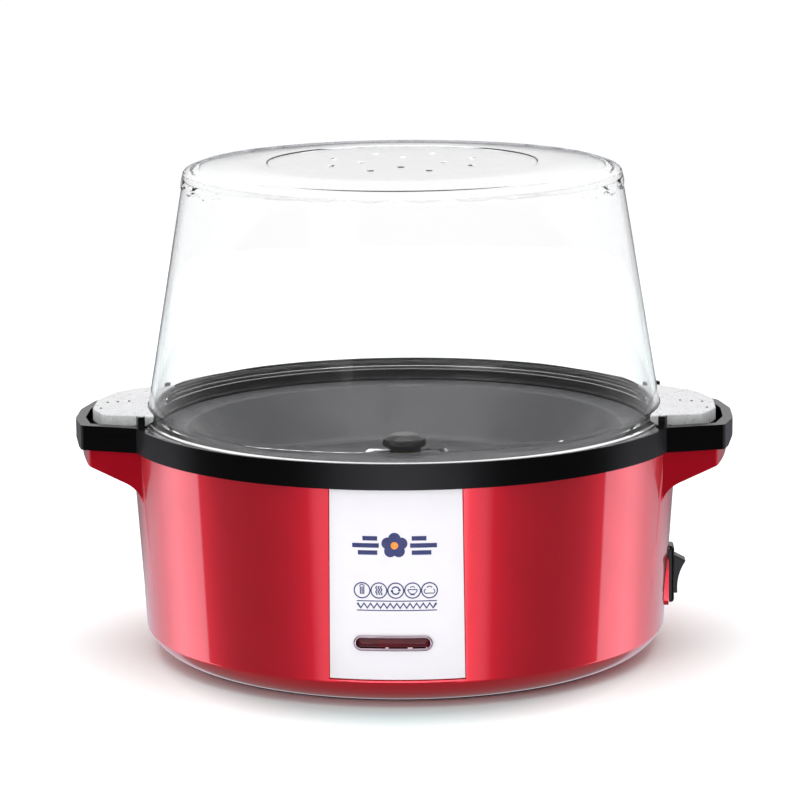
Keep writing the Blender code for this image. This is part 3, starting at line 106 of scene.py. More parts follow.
# Clear dome
DOME_FOOT_R, DOME_TAPER, DOME_WALL = 136.6 * MM, 0.1638, 2.2 * MM
DOME_SKIRT_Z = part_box("dome_cover")[0].z
SCALLOPS, SCALLOP_Z, SCALLOP_DEPTH = 28, 249.5 * MM, 1.3 * MM
TAB_ROOT = (130 * MM, 47 * MM)
TAB_SHOULDER = (158 * MM, 33 * MM, 10 * MM)
TAB_END = (166 * MM, 12 * MM, 20 * MM)
TAB_TOP_Z, TAB_LOW_Z = 132.6 * MM, 125.3 * MM

# White panel and its window
PANEL_HALF_TOP = PANEL_HALF_LOW - 1.0 * MM
PANEL_THICK = 1.6 * MM
WINDOW_X, WINDOW_Z = -2.0 * MM, 34.5 * MM
WINDOW_LONG, WINDOW_TALL = 40.0 * MM, 8.0 * MM

# Rocker switch
SWITCH_Z = 38.0 * MM
SWITCH_BACK_X, SWITCH_PLATE = 142.1 * MM, 2.6 * MM
SWITCH_LONG, SWITCH_WIDE = 31.0 * MM, 14.5 * MM
ROCKER_PIVOT_X = 141.5 * MM
ROCKER_REST = math.radians(14)
ROCKER_HALF_WIDE, ROCKER_HALF_LONG = 4.8 * MM, 9.2 * MM

# Pan and stirrer
PAN_FLOOR_Z, PAN_FLOOR_R = 92.0 * MM, 90.0 * MM
PAN_MOUTH_R, PAN_THICK = 118.0 * MM, 1.8 * MM
COLLAR_Z, BUSH_HOLE_R = 96.0 * MM, 6.3 * MM
SHAFT_TOP_Z, SHAFT_R = 105.0 * MM, 3.5 * MM


# ---------------------------------------------------------------- mesh helpers


def body_radius(z):
    return BODY_LOW_R + (z - BODY_LOW_Z) * BODY_SLOPE


def dome_radius(z):
    return DOME_FOOT_R - DOME_TAPER * (z - RIM_TOP_Z)


def around(radius, angle, z=0.0):
    return Vector((radius * math.cos(angle), radius * math.sin(angle), z))


def arc(centre, radius, start, end, steps):
    """Points on a circular arc with both ends; angles in radians."""
    span = (end - start) / steps
    points = []
    for i in range(steps + 1):
        angle = start + span * i
        points.append((centre[0] + radius * math.cos(angle), centre[1] + radius * math.sin(angle)))
    return points


def rounded(corners, steps=8, closed=True):
    """A line through (a, b, radius) corners, each rounded with an arc of its radius."""
    points = []
    count = len(corners)
    for i, (a, b, radius) in enumerate(corners):
        here = Vector((a, b))
        if radius <= 0 or (not closed and i in (0, count - 1)):
            points.append((a, b))
            continue
        back = (Vector(corners[i - 1][:2]) - here).normalized()
        ahead = (Vector(corners[(i + 1) % count][:2]) - here).normalized()
        half = back.angle(ahead) / 2
        centre = here + (back + ahead).normalized() * (radius / math.sin(half))
        first = here + back * (radius / math.tan(half)) - centre
        last = here + ahead * (radius / math.tan(half)) - centre
        turn = first.angle_signed(last)
        start = math.atan2(first.y, first.x)
        points += arc(centre, radius, start, start - turn, steps)
    return points


def offset_corners(corners, distance):
    """Moves each edge of a counter-clockwise outline inwards by a distance."""
    count = len(corners)
    moved = []
    for i in range(count):
        before, here, after = (Vector(corners[k % count][:2]) for k in (i - 1, i, i + 1))
        along_in, along_out = (here - before).normalized(), (after - here).normalized()
        normal_in = Vector((-along_in.y, along_in.x))
        normal_out = Vector((-along_out.y, along_out.x))
        shift = (normal_in + normal_out) * (distance / (1 + normal_in.dot(normal_out)))
        moved.append((*(here + shift), max(corners[i][2] - distance, 0)))
    return moved


def turned(profile, sides=SIDES, ripple=None):
    """A solid of revolution. The profile closes on itself unless it starts and ends on the axis."""
    bm = bmesh.new()
    rings = []
    for r, z in profile:
        ring = []
        for k in range(sides if r > 1e-7 else 1):
            angle = math.tau * k / sides
            radius, height = ripple(r, z, angle) if ripple else (r, z)
            ring.append(bm.verts.new(around(radius, angle, height)))
        rings.append(ring)
    pairs = list(zip(rings, rings[1:]))
    if profile[0][0] > 1e-7 or profile[-1][0] > 1e-7:
        pairs.append((rings[-1], rings[0]))
    for low, high in pairs:
        if len(low) == len(high) == 1:
            continue
        for k in range(sides):
            n = (k + 1) % sides
            loop = [low[k % len(low)], low[n % len(low)], high[n % len(high)], high[k % len(high)]]
            bm.faces.new(list(dict.fromkeys(loop)))
    return bm


def prism(outline, low, high, along="Z"):
    """A straight extrusion of an outline that lies in the plane across the axis."""
    place = {
        "Z": lambda a, b, c: (a, b, c),
        "Y": lambda a, b, c: (a, c, b),
        "X": lambda a, b, c: (c, a, b),
    }[along]
    bm = bmesh.new()
    face = bm.faces.new([bm.verts.new(place(a, b, low)) for a, b in outline])
    grown = bmesh.ops.extrude_face_region(bm, geom=[face])["geom"]
    moved = [item for item in grown if isinstance(item, bmesh.types.BMVert)]
    bmesh.ops.translate(bm, verts=moved, vec=Vector(place(0, 0, high - low)))
    return bm


def block(x0, x1, y0, y1, z0, z1):
    return prism([(x0, y0), (x1, y0), (x1, y1), (x0, y1)], z0, z1)


def radial_block(angle, inner, outer, half_wide, low, high):
    return moved(block(inner, outer, -half_wide, half_wide, low, high), Matrix.Rotation(angle, 4, "Z"))


def ball(radius, at, sides=16):
    bm = bmesh.new()
    bmesh.ops.create_uvsphere(bm, u_segments=sides, v_segments=sides // 2, radius=radius)
    return moved(bm, Matrix.Translation(at))


def tube(points, radius, sides=20):
    """A round bar through points, with domed ends."""
    points = [Vector(p) for p in points]
    bm = bmesh.new()
    rings = []
    side = Vector((0, 0, 1)).cross(points[1] - points[0]).normalized()
    last = len(points) - 1
    for i, point in enumerate(points):
        along = (points[min(i + 1, last)] - points[max(i - 1, 0)]).normalized()
        side = (side - along * side.dot(along)).normalized()
        up = along.cross(side)
        ring = []
        for k in range(sides):
            angle = math.tau * k / sides
            ring.append(bm.verts.new(point + (side * math.cos(angle) + up * math.sin(angle)) * radius))
        rings.append(ring)
    for low, high in zip(rings, rings[1:]):
        for k in range(sides):
            n = (k + 1) % sides
            bm.faces.new((low[k], low[n], high[n], high[k]))
    for ring, point, inward in ((rings[0], points[0], points[1]), (rings[-1], points[-1], points[-2])):
        outward = (point - inward).normalized()
        inner = ring
        for step in (0.5, 0.85):
            spread = math.sqrt(1 - step * step)
            layer = [bm.verts.new(point + (v.co - point) * spread + outward * radius * step) for v in ring]
            for k in range(sides):
                n = (k + 1) % sides
                bm.faces.new((inner[k], inner[n], layer[n], layer[k]))
            inner = layer
        bm.faces.new(inner)
    return bm


def moved(bm, matrix):
    bmesh.ops.transform(bm, matrix=matrix, verts=bm.verts)
    return bm


def merged(meshes):
    """Several bmeshes as one."""
    whole = bmesh.new()
    for bm in meshes:
        carrier = bpy.data.meshes.new("carrier")
        bm.to_mesh(carrier)
        bm.free()
        whole.from_mesh(carrier)
        bpy.data.meshes.remove(carrier)
    return whole


def both_ends(bm):
    """A shape at +X together with its mirror image at -X."""
    other = bm.copy()
    bmesh.ops.scale(other, vec=(-1, 1, 1), verts=other.verts)
    bmesh.ops.reverse_faces(other, faces=other.faces)
    return merged([bm, other])


def droop_at(x):
    return max(abs(x) - HANDLE_ROOT[0], 0) * DROOP


def drooped(bm):
    """Lets everything beyond the handle's root fall away outwards."""
    for side in (-HANDLE_ROOT[0], HANDLE_ROOT[0]):
        geometry = list(bm.verts) + list(bm.edges) + list(bm.faces)
        bmesh.ops.bisect_plane(bm, geom=geometry, plane_co=(side, 0, 0), plane_no=(1, 0, 0))
    for vert in bm.verts:
        vert.co.z -= droop_at(vert.co.x)
    return bm


def raw(name, bm):
    """A bmesh as an object of the scene, with its faces outwards."""
    bmesh.ops.remove_doubles(bm, verts=bm.verts, dist=1e-7)
    bmesh.ops.recalc_face_normals(bm, faces=bm.faces)
    mesh = bpy.data.meshes.new(name)
    bm.to_mesh(mesh)
    bm.free()
    made = bpy.data.objects.new(name, mesh)
    bpy.context.scene.collection.objects.link(made)
    return made


def bake(obj):
    """Replaces an object's mesh by what its modifiers make of it."""
    graph = bpy.context.evaluated_depsgraph_get()
    mesh = bpy.data.meshes.new_from_object(obj.evaluated_get(graph))
    obj.modifiers.clear()
    old = obj.data
    obj.data = mesh
    bpy.data.meshes.remove(old)


def combine(target, operation, *bms):
    """Boolean of an object with one or more bmeshes, applied."""
    for index, bm in enumerate(bms):
        tool = raw(f"tool_{index}", bm) if isinstance(bm, bmesh.types.BMesh) else bm
        modifier = target.modifiers.new("cut", "BOOLEAN")
        modifier.operation = operation
        modifier.object = tool
        bake(target)
        bpy.data.objects.remove(tool)
    return target


def bevel(obj, width, segments=3, least=30.0, weight=None):
    """Rounds the edges sharper than a number of degrees. The weight, from 0 to 1, may vary by place."""
    bm = bmesh.new()
    bm.from_mesh(obj.data)
    bmesh.ops.remove_doubles(bm, verts=bm.verts, dist=0.03 * MM)
    bmesh.ops.dissolve_degenerate(bm, edges=bm.edges, dist=0.01 * MM)
    layer = bm.edges.layers.float.new("bevel_weight_edge")
    for edge in bm.edges:
        if len(edge.link_faces) == 2 and edge.calc_face_angle(0) > math.radians(least):
            middle = (edge.verts[0].co + edge.verts[1].co) / 2
            edge[layer] = weight(middle, edge) if weight else 1.0
    bm.to_mesh(obj.data)
    bm.free()
    modifier = obj.modifiers.new("soft edges", "BEVEL")
    modifier.width = width
    modifier.segments = segments
    modifier.limit_method = "WEIGHT"
    modifier.use_clamp_overlap = True
    modifier.miter_outer = "MITER_ARC"
    bake(obj)
    return obj


def shade(obj, sharp=35.0, round_walls=True):
    """Smooth shading whose flat faces stay flat and whose round walls have the true cone's normals."""
    mesh = obj.data
    mesh.shade_smooth()
    mesh.set_sharp_from_angle(angle=math.radians(sharp))
    obj.modifiers.new("flat faces", "WEIGHTED_NORMAL").keep_sharp = True
    bake(obj)
    if not round_walls:
        return obj
    mesh = obj.data
    normals = [corner.vector.copy() for corner in mesh.corner_normals]
    aligned = math.cos(math.radians(3))
    for face in mesh.polygons:
        across = Vector((face.normal.x, face.normal.y))
        radial = Vector((face.center.x, face.center.y))
        if abs(face.normal.z) > 0.3 or radial.length < 3 * MM:
            continue
        facing = across.normalized().dot(radial.normalized())
        if abs(facing) < aligned:
            continue
        level = math.copysign(across.length, facing)
        for index in face.loop_indices:
            co = mesh.vertices[mesh.loops[index].vertex_index].co
            out = Vector((co.x, co.y)).normalized() * level
            normals[index] = Vector((out.x, out.y, face.normal.z))
    mesh.normals_split_custom_set(normals)
    return obj


def dress(obj, material, body, *replaced, slot=None):
    """Gives a finished piece its material and body, and hides the CAD nodes it stands for. The slot is not
    used.
    """
    obj.data.materials.clear()
    obj.data.materials.append(material)
    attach(obj, body)
    if replaced:
        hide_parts(*replaced)
    return obj


# ---------------------------------------------------------------- materials


class Shader:
    """A Principled material under construction, with short ways to add its procedural nodes."""

    def __init__(self, name, colour, roughness, **sockets):
        self.material = bpy.data.materials.new(name)
        self.material.use_nodes = True
        self.tree = self.material.node_tree
        self.main = self.tree.nodes["Principled BSDF"]
        self.main.inputs["Base Color"].default_value = (*colour, 1)
        self.main.inputs["Roughness"].default_value = roughness
        for key, value in sockets.items():
            self.main.inputs[key.replace("_", " ")].default_value = value
        self.place = self.tree.nodes.new("ShaderNodeTexCoord").outputs["Object"]

    def node(self, kind, **settings):
        made = self.tree.nodes.new(kind)
        for key, value in settings.items():
            if isinstance(value, bpy.types.NodeSocket):
                self.tree.links.new(value, made.inputs[key.replace("_", " ")])
            elif hasattr(made, key):
                setattr(made, key, value)
            else:
                made.inputs[key.replace("_", " ")].default_value = value
        return made

    def noise(self, scale, detail=3.0, stretch=(1, 1, 1)):
        spread = self.node("ShaderNodeMapping", Vector=self.place, Scale=stretch)
        made = self.node("ShaderNodeTexNoise", Vector=spread.outputs[0], Scale=scale, Detail=detail)
        return made.outputs["Fac"]

    def ramp(self, value, low, high, low_at=0.35, high_at=0.65):
        made = self.node("ShaderNodeMapRange", Value=value)
        for key, number in zip(("From Min", "From Max", "To Min", "To Max"), (low_at, high_at, low, high)):
            made.inputs[key].default_value = number
        return made.outputs[0]

    def mix(self, value, first, second, low_at=0.35, high_at=0.65):
        made = self.node("ShaderNodeMix", data_type="RGBA")
        self.tree.links.new(self.ramp(value, 0, 1, low_at, high_at), made.inputs[0])
        made.inputs[6].default_value = (*first, 1)
        made.inputs[7].default_value = (*second, 1)
        return made.outputs[2]

    def feed(self, socket, value):
        self.tree.links.new(value, self.main.inputs[socket])
        return self

    def bump(self, height, strength, distance):
        made = self.node("ShaderNodeBump", Height=height, Strength=strength, Distance=distance)
        return self.feed("Normal", made.outputs[0])


def red_lacquer():
    """Metallic red paint under a clear coat: fine flakes in the colour and a faint unevenness."""
    made = Shader("red_lacquer", (0.76, 0.002, 0.022), 0.37, Metallic=0.85)
    made.main.inputs["Coat Weight"].default_value = 1.0
    made.main.inputs["Coat Roughness"].default_value = 0.025
    flakes = made.noise(5200, 2)
    made.feed("Base Color", made.mix(flakes, (0.68, 0.0015, 0.016), (0.85, 0.003, 0.025)))
    made.feed("Roughness", made.ramp(made.noise(60), 0.35, 0.39))
    return made.material


def satin_black(name="satin_black", roughness=0.22, grain=4000):
    made = Shader(name, (0.0006, 0.0006, 0.0006), roughness, Specular_IOR_Level=0.24)
    made.feed("Roughness", made.ramp(made.noise(2500, 2), roughness - 0.02, roughness + 0.03))
    made.feed("Base Color", made.mix(made.noise(900), (0.0004, 0.0004, 0.0004), (0.0009, 0.0009, 0.0009)))
    return made.bump(made.noise(grain, 2), 0.05, 0.00002).material


def white_gloss():
    made = Shader("white_gloss", (0.69, 0.66, 0.685), 0.22)
    made.main.inputs["Coat Weight"].default_value = 0.3
    made.main.inputs["Coat Roughness"].default_value = 0.05
    made.feed("Base Color", made.mix(made.noise(18), (0.68, 0.65, 0.675), (0.70, 0.67, 0.695)))
    made.feed("Roughness", made.ramp(made.noise(90), 0.19, 0.25))
    return made.material


def print_ink(name, dark, light):
    made = Shader(name, dark, 0.4)
    made.feed("Base Color", made.mix(made.noise(700, 4), dark, light))
    made.feed("Roughness", made.ramp(made.noise(400), 0.34, 0.46))
    return made.material


def chrome_plate():
    made = Shader("chrome_plate", (0.34, 0.27, 0.30), 0.16, Metallic=1.0)
    made.feed("Roughness", made.ramp(made.noise(220, 4), 0.10, 0.18))
    made.feed("Base Color", made.mix(made.noise(60), (0.30, 0.23, 0.26), (0.38, 0.31, 0.34)))
    return made.material


def red_lens():
    made = Shader("red_lens", (0.12, 0.002, 0.008), 0.08, Transmission_Weight=0.25, IOR=1.49)
    made.feed("Base Color", made.mix(made.noise(90), (0.09, 0.001, 0.006), (0.15, 0.003, 0.010)))
    made.feed("Roughness", made.ramp(made.noise(300), 0.06, 0.11))
    return made.material


def clear_plastic():
    """Moulded clear plastic: faint waviness, and lamps shine through it."""
    made = Shader("clear_plastic", (0.99, 0.99, 0.992), 0.02, Transmission_Weight=1.0, IOR=1.2)
    made.feed("Roughness", made.ramp(made.noise(40), 0.012, 0.035))
    made.bump(made.noise(22, 2), 0.08, 0.0004)
    tree = made.tree
    clear = made.node("ShaderNodeBsdfTransparent", Color=(0.93, 0.935, 0.94, 1))
    ray = made.node("ShaderNodeLightPath")
    shown = tree.nodes.new("ShaderNodeMixShader")
    tree.links.new(ray.outputs["Is Shadow Ray"], shown.inputs[0])
    tree.links.new(made.main.outputs[0], shown.inputs[1])
    tree.links.new(clear.outputs[0], shown.inputs[2])
    tree.links.new(shown.outputs[0], tree.nodes["Material Output"].inputs["Surface"])
    return made.material


def frosted_plastic():
    """The clear plastic where its underside is textured: milky, with a soft sheen."""
    made = Shader("frosted_plastic", (0.66, 0.66, 0.67), 0.3, Transmission_Weight=0.30, IOR=1.3)
    made.feed("Base Color", made.mix(made.noise(160, 4), (0.61, 0.61, 0.62), (0.69, 0.69, 0.695)))
    made.feed("Roughness", made.ramp(made.noise(260), 0.26, 0.40))
    return made.bump(made.noise(420, 3), 0.05, 0.0001).material


def lamp_glass():
    made = Shader("lamp_glass", (0.95, 0.62, 0.45), 0.06, Transmission_Weight=0.8, IOR=1.5)
    made.feed("Roughness", made.ramp(made.noise(200), 0.04, 0.09))
    return made.material


def nonstick():
    """Dark coated pan with fine pale speckles and a fine grain."""
    made = Shader("nonstick", (0.03, 0.03, 0.032), 0.38, Metallic=0.25)
    speckle = made.noise(1500, 1)
    made.feed("Base Color", made.mix(speckle, (0.022, 0.022, 0.024), (0.20, 0.20, 0.21), 0.66, 0.74))
    made.feed("Roughness", made.ramp(made.noise(55), 0.32, 0.46))
    return made.bump(made.noise(1100, 3), 0.15, 0.00005).material


def metal(name, dark, light, roughness, stretch=(1, 1, 1), scale=300):
    """Bare metal; the stretch turns its fine noise into brushing or turning marks."""
    made = Shader(name, dark, roughness, Metallic=1.0)
    marks = made.noise(scale, 5, stretch)
    made.feed("Base Color", made.mix(marks, dark, light))
    made.feed("Roughness", made.ramp(marks, roughness - 0.08, roughness + 0.1))
    return made.bump(marks, 0.15, 0.00005).material


def plain(name, dark, light, roughness, scale=250, strength=0.25):
    """A matt moulded or fired material with mottled colour and a fine grain."""
    made = Shader(name, dark, roughness)
    made.feed("Base Color", made.mix(made.noise(scale / 4), dark, light))
    made.feed("Roughness", made.ramp(made.noise(scale), roughness - 0.06, roughness + 0.08))
    return made.bump(made.noise(scale * 4, 4), strength, 0.0001).material


def winding():
    """Enamelled copper wire, wound round the axis in fine layers."""
    made = Shader("winding", (0.45, 0.16, 0.05), 0.3, Metallic=0.9)
    wires = made.node("ShaderNodeTexWave", Vector=made.place, Scale=700.0, Distortion=0.4)
    wires.bands_direction = "Z"
    made.feed("Base Color", made.mix(wires.outputs["Fac"], (0.25, 0.08, 0.025), (0.62, 0.25, 0.09), 0.2, 0.8))
    return made.bump(wires.outputs["Fac"], 0.6, 0.0002).material


def all_materials():
    """Every finish, under the record's slot names."""
    return {
        "clear_dome": clear_plastic(),
        "frosted": frosted_plastic(),
        "pip": plain("pip", (0.04, 0.04, 0.045), (0.08, 0.08, 0.085), 0.45, 300, 0.1),
        "black_plastic": satin_black(),
        "red_shell": red_lacquer(),
        "white_panel": white_gloss(),
        "chrome_trim": chrome_plate(),
        "red_lens": red_lens(),
        "lamp_glass": lamp_glass(),
        "nonstick_pan": nonstick(),
        "silicone": plain("silicone", (0.30, 0.03, 0.025), (0.42, 0.05, 0.04), 0.6),
        "steel": metal("steel", (0.50, 0.50, 0.52), (0.68, 0.68, 0.70), 0.24, (1, 1, 9)),
        "aluminium": metal("aluminium", (0.62, 0.63, 0.65), (0.80, 0.81, 0.83), 0.36, (1, 12, 1)),
        "brass": metal("brass", (0.62, 0.42, 0.14), (0.80, 0.58, 0.24), 0.28, (1, 1, 10)),
        "copper_coil": winding(),
        "gear_plastic": plain("acetal", (0.76, 0.76, 0.70), (0.86, 0.86, 0.80), 0.42),
        "rubber": plain("rubber", (0.012, 0.012, 0.012), (0.025, 0.025, 0.025), 0.8, 400, 0.5),
        "ceramic": plain("ceramic", (0.74, 0.70, 0.60), (0.86, 0.83, 0.75), 0.55),
        "lead_sleeve": plain("lead_sleeve", (0.66, 0.66, 0.62), (0.82, 0.82, 0.79), 0.7, 900, 0.7),
    }


# ---------------------------------------------------------------- rim and body


def handle_corners(inset):
    """The plan of one handle at +X, starting inside the rim."""
    upper = [HANDLE_END, HANDLE_SHOULDER, (*HANDLE_ROOT, 0), (118 * MM, 62 * MM, 0)]
    lower = [(x, -y, radius) for x, y, radius in reversed(upper)]
    return offset_corners(lower + upper, inset)


def handle_side():
    """The black handle from the front: its lower outer corner is cut back."""
    low, high = RIM_LOW_Z - 12 * MM, RIM_TOP_Z + 4 * MM
    end_low = RIM_LOW_Z - droop_at(HALF_WIDTH)
    return [
        (110 * MM, low),
        (HALF_WIDTH - 3.4 * MM, low),
        (HALF_WIDTH - 3.4 * MM, end_low - 0.2 * MM),
        (HALF_WIDTH + 0.4 * MM, end_low + 4.4 * MM),
        (HALF_WIDTH + 1 * MM, high),
        (110 * MM, high),
    ]


def rim_edge_weight(middle, edge):
    """Broad rounding on the handles' outer edges, fine elsewhere."""
    if middle.z < RIM_LOW_Z - 0.5 * MM and math.hypot(middle.x, middle.y) < RIM_R - 1 * MM:
        return 0.15
    outside = math.hypot(middle.x, middle.y) > RIM_R + 1 * MM
    return 1.0 if outside else 0.5


def make_rim(looks):
    outer = [
        (0, RIM_UNDER_Z),
        (140 * MM, RIM_UNDER_Z),
        (140 * MM, RIM_LOW_Z),
        (RIM_R, RIM_LOW_Z),
        (RIM_R, RIM_TOP_Z),
        (0, RIM_TOP_Z),
    ]
    rim = raw("rim", turned(outer))
    handle = prism(rounded(handle_corners(0), 14), RIM_LOW_Z, RIM_TOP_Z)
    handles = raw("handles", drooped(both_ends(handle)))
    combine(handles, "INTERSECT", both_ends(prism(handle_side(), -80 * MM, 80 * MM, "Y")))
    combine(rim, "UNION", handles)
    inside = [
        (0, RIM_UNDER_Z - 5 * MM),
        (LEDGE_R, RIM_UNDER_Z - 5 * MM),
        (LEDGE_R, LEDGE_Z),
        (RIM_BORE_R, LEDGE_Z),
        (RIM_BORE_R, REBATE_Z),
        (REBATE_R, REBATE_Z),
        (REBATE_R, RIM_TOP_Z + 5 * MM),
        (0, RIM_TOP_Z + 5 * MM),
    ]
    low = RIM_UNDER_Z - 5 * MM
    groove = [(GROOVE_IN_R, low), (GROOVE_OUT_R, low)]
    groove += [(GROOVE_OUT_R, GROOVE_TOP_Z), (GROOVE_IN_R, GROOVE_TOP_Z)]
    combine(rim, "DIFFERENCE", turned(inside), turned(groove))
    lugs = [
        radial_block(angle, LUG_IN_R, RIM_R - 1.9 * MM, LUG_HALF_WIDE, REBATE_Z - 1.5 * MM, LUG_TOP_Z)
        for angle in LUG_ANGLES
    ]
    combine(rim, "UNION", merged(lugs))
    outline = rounded(handle_corners(HANDLE_WALL), 12)
    deep = raw("deep", drooped(both_ends(prism(outline, HANDLE_FLOOR_Z, RIM_TOP_Z + 8 * MM))))
    keep = [(0, low), (RIM_R + 0.6 * MM, low), (RIM_R + 0.6 * MM, 0.15), (0, 0.15)]
    combine(deep, "DIFFERENCE", turned(keep))
    combine(rim, "DIFFERENCE", deep)
    combine(rim, "DIFFERENCE", drooped(both_ends(prism(outline, REBATE_Z, RIM_TOP_Z + 8 * MM))))
    bevel(rim, 1.3 * MM, 4, 40, rim_edge_weight)
    return dress(shade(rim, 40), looks["black_plastic"], "base", "rim_ring")


def wedge_side(inset):
    """The red underside of a handle from the front, at +X; the inset makes its hollow."""
    high = RIM_LOW_Z - 0.3 * MM
    end_x = HALF_WIDTH - RED_INSET - inset
    end_top = high - droop_at(end_x)
    if inset:
        high, end_top = high + 10 * MM, end_top + 10 * MM
    corners = [
        (118 * MM, high, 0),
        (118 * MM, 70 * MM + inset, 0),
        (134.3 * MM - inset, 70 * MM + inset, 0),
        (135.9 * MM - inset, 92.7 * MM + inset, 15 * MM),
        (end_x, 105.2 * MM + inset, 7 * MM - inset),
        (end_x, end_top, 0),
        (HANDLE_ROOT[0], high, 0),
    ]
    return rounded(corners, 10)


def red_corners(inset):
    """The plan of the red underside at +X: as wide at its root as the raised strip."""
    end_x, end_y, end_round = HANDLE_END
    upper = [
        (end_x - RED_INSET, end_y, end_round - RED_INSET),
        RED_SHOULDER,
        (RED_ROOT_X, RED_HALF_WIDE, 0),
        (118 * MM, RED_HALF_WIDE, 0),
    ]
    lower = [(x, -y, radius) for x, y, radius in reversed(upper)]
    return offset_corners(lower + upper, inset)


def wedge(inset):
    made = raw("wedge", both_ends(prism(rounded(red_corners(inset), 12), 60 * MM, 130 * MM)))
    return combine(made, "INTERSECT", both_ends(prism(wedge_side(inset), -70 * MM, 70 * MM, "Y")))


def panel_outline(grow, low, high):
    return [
        (-PANEL_HALF_LOW - grow, low),
        (PANEL_HALF_LOW + grow, low),
        (PANEL_HALF_TOP + grow, high),
        (-PANEL_HALF_TOP - grow, high),
    ]


def wall_layer(depth, proud, low, high):
    """A turned layer that follows the body's outside between a depth and a height."""
    return [
        (body_radius(low) - depth, low),
        (body_radius(low) + proud, low),
        (body_radius(high) + proud, high),
        (body_radius(high) - depth, high),
    ]


def stadium(length, height, steps=16, straights=12):
    """A slot outline with round ends about the window's centre, in X and Z."""
    reach, radius = (length - height) / 2, height / 2
    right = arc((WINDOW_X + reach, WINDOW_Z), radius, -math.pi / 2, math.pi / 2, steps)
    left = arc((WINDOW_X - reach, WINDOW_Z), radius, math.pi / 2, 1.5 * math.pi, steps)
    middle = [WINDOW_X + reach * (2 * k / straights - 1) for k in range(1, straights)]
    top = [(x, WINDOW_Z + radius) for x in reversed(middle)]
    bottom = [(x, WINDOW_Z - radius) for x in middle]
    return right + top + left + bottom


def body_edge_weight(middle, edge):
    """Broad rounding on the handle undersides, fine elsewhere, none on the strips and the window's hole."""
    if middle.z < BODY_LOW_Z + 0.4 * MM:
        return 0.0
    if math.hypot(middle.x, middle.y) > body_radius(middle.z) + 1.5 * MM and abs(middle.x) > 120 * MM:
        return 1.0 if middle.z > 60 * MM else 0.25
    if abs(middle.x) > 120 * MM and abs(abs(middle.y) - STRIP_HALF) < 2 * MM:
        return 0.0
    if middle.y < -130 * MM and abs(middle.z - WINDOW_Z) < WINDOW_TALL / 2 + 0.5 * MM:
        return 0.3 if abs(middle.x) > WINDOW_LONG / 2 + 3 * MM else 0.0
    return 0.3


def make_body(looks):
    centre = (
        BODY_LOW_R - FOOT_ARC_R * math.cos(FOOT_ARC_FROM),
        BODY_LOW_Z + FOOT_ARC_R * math.sin(FOOT_ARC_FROM),
    )
    foot = arc(centre, FOOT_ARC_R, -FOOT_ARC_TO, -FOOT_ARC_FROM, 10)
    inner_foot = arc(centre, FOOT_ARC_R - BODY_WALL, -FOOT_ARC_TO, -FOOT_ARC_FROM, 8)
    outer = [(0, 0.9 * MM), *foot, (body_radius(BODY_TOP_Z), BODY_TOP_Z), (0, BODY_TOP_Z)]
    body = raw("body", turned(outer))
    combine(body, "UNION", wedge(0))
    low, high, depth = 26 * MM, 114.4 * MM, 1.5 * MM
    strip = [
        (body_radius(low) - depth, low),
        (body_radius(low) - 0.1 * MM, low),
        (body_radius(high) + STRIP_PROUD, high),
        (body_radius(high) - depth, high),
    ]
    strips = raw("strips", turned(strip))
    # the strip's sides slant, so that it fades out instead of ending in a step
    slanted = [(100, -1.63), (160, -0.583), (160, 0.583), (100, 1.63)]
    slanted = [(x * MM, y * STRIP_HALF) for x, y in slanted]
    combine(strips, "INTERSECT", both_ends(prism(slanted, 0, 130 * MM)))
    combine(body, "UNION", strips)
    pad = [(-9.5, 21, 4), (9.5, 21, 4), (9.5, 50, 9.4), (-9.5, 50, 9.4)]
    pad_outline = rounded([(a * MM, b * MM, r * MM) for a, b, r in pad], 10)
    combine(body, "UNION", prism(pad_outline, 137 * MM, 141.7 * MM, "X"))
    top = BODY_TOP_Z + 5 * MM
    inside = [(0, -2 * MM), (inner_foot[0][0], -2 * MM), *inner_foot]
    inside += [(body_radius(top) - BODY_WALL, top), (0, top)]
    hollow = raw("hollow", turned(inside))
    combine(hollow, "UNION", wedge(BODY_WALL))
    combine(body, "DIFFERENCE", hollow)
    pocket = raw("pocket", turned(wall_layer(PANEL_THICK + 0.3 * MM, 6 * MM, 14.5 * MM, 125 * MM)))
    outline = panel_outline(0.4 * MM, PANEL_LOW_Z - 1.1 * MM, 126 * MM)
    combine(pocket, "INTERSECT", prism(outline, -170 * MM, -90 * MM, "Y"))
    combine(body, "DIFFERENCE", pocket)
    window = stadium(WINDOW_LONG - 0.6 * MM, WINDOW_TALL - 0.6 * MM)
    combine(body, "DIFFERENCE", prism(window, -150 * MM, -120 * MM, "Y"))
    half_long, half_wide = SWITCH_LONG / 2 - 1.1 * MM, SWITCH_WIDE / 2 - 0.85 * MM
    hole = [(-half_wide, SWITCH_Z - half_long), (half_wide, SWITCH_Z - half_long)]
    hole += [(half_wide, SWITCH_Z + half_long), (-half_wide, SWITCH_Z + half_long)]
    combine(body, "DIFFERENCE", prism(hole, 125 * MM, 150 * MM, "X"))
    gland = [(0, 120 * MM), (7.4 * MM, 120 * MM), (7.4 * MM, 150 * MM), (0, 150 * MM)]
    combine(body, "DIFFERENCE", moved(turned(gland, SMALL_SIDES), gland_matrix()))
    bevel(body, 1.6 * MM, 4, 20, body_edge_weight)
    return dress(shade(body, 40), looks["red_shell"], "base", "body_shell")


def gland_matrix():
    """Turns a shape made along +Z so that it points out of the back."""
    return Matrix.Translation((0, 0, 22 * MM)) @ Matrix.Rotation(-math.pi / 2, 4, "X")


# ---------------------------------------------------------------- panel, print and window


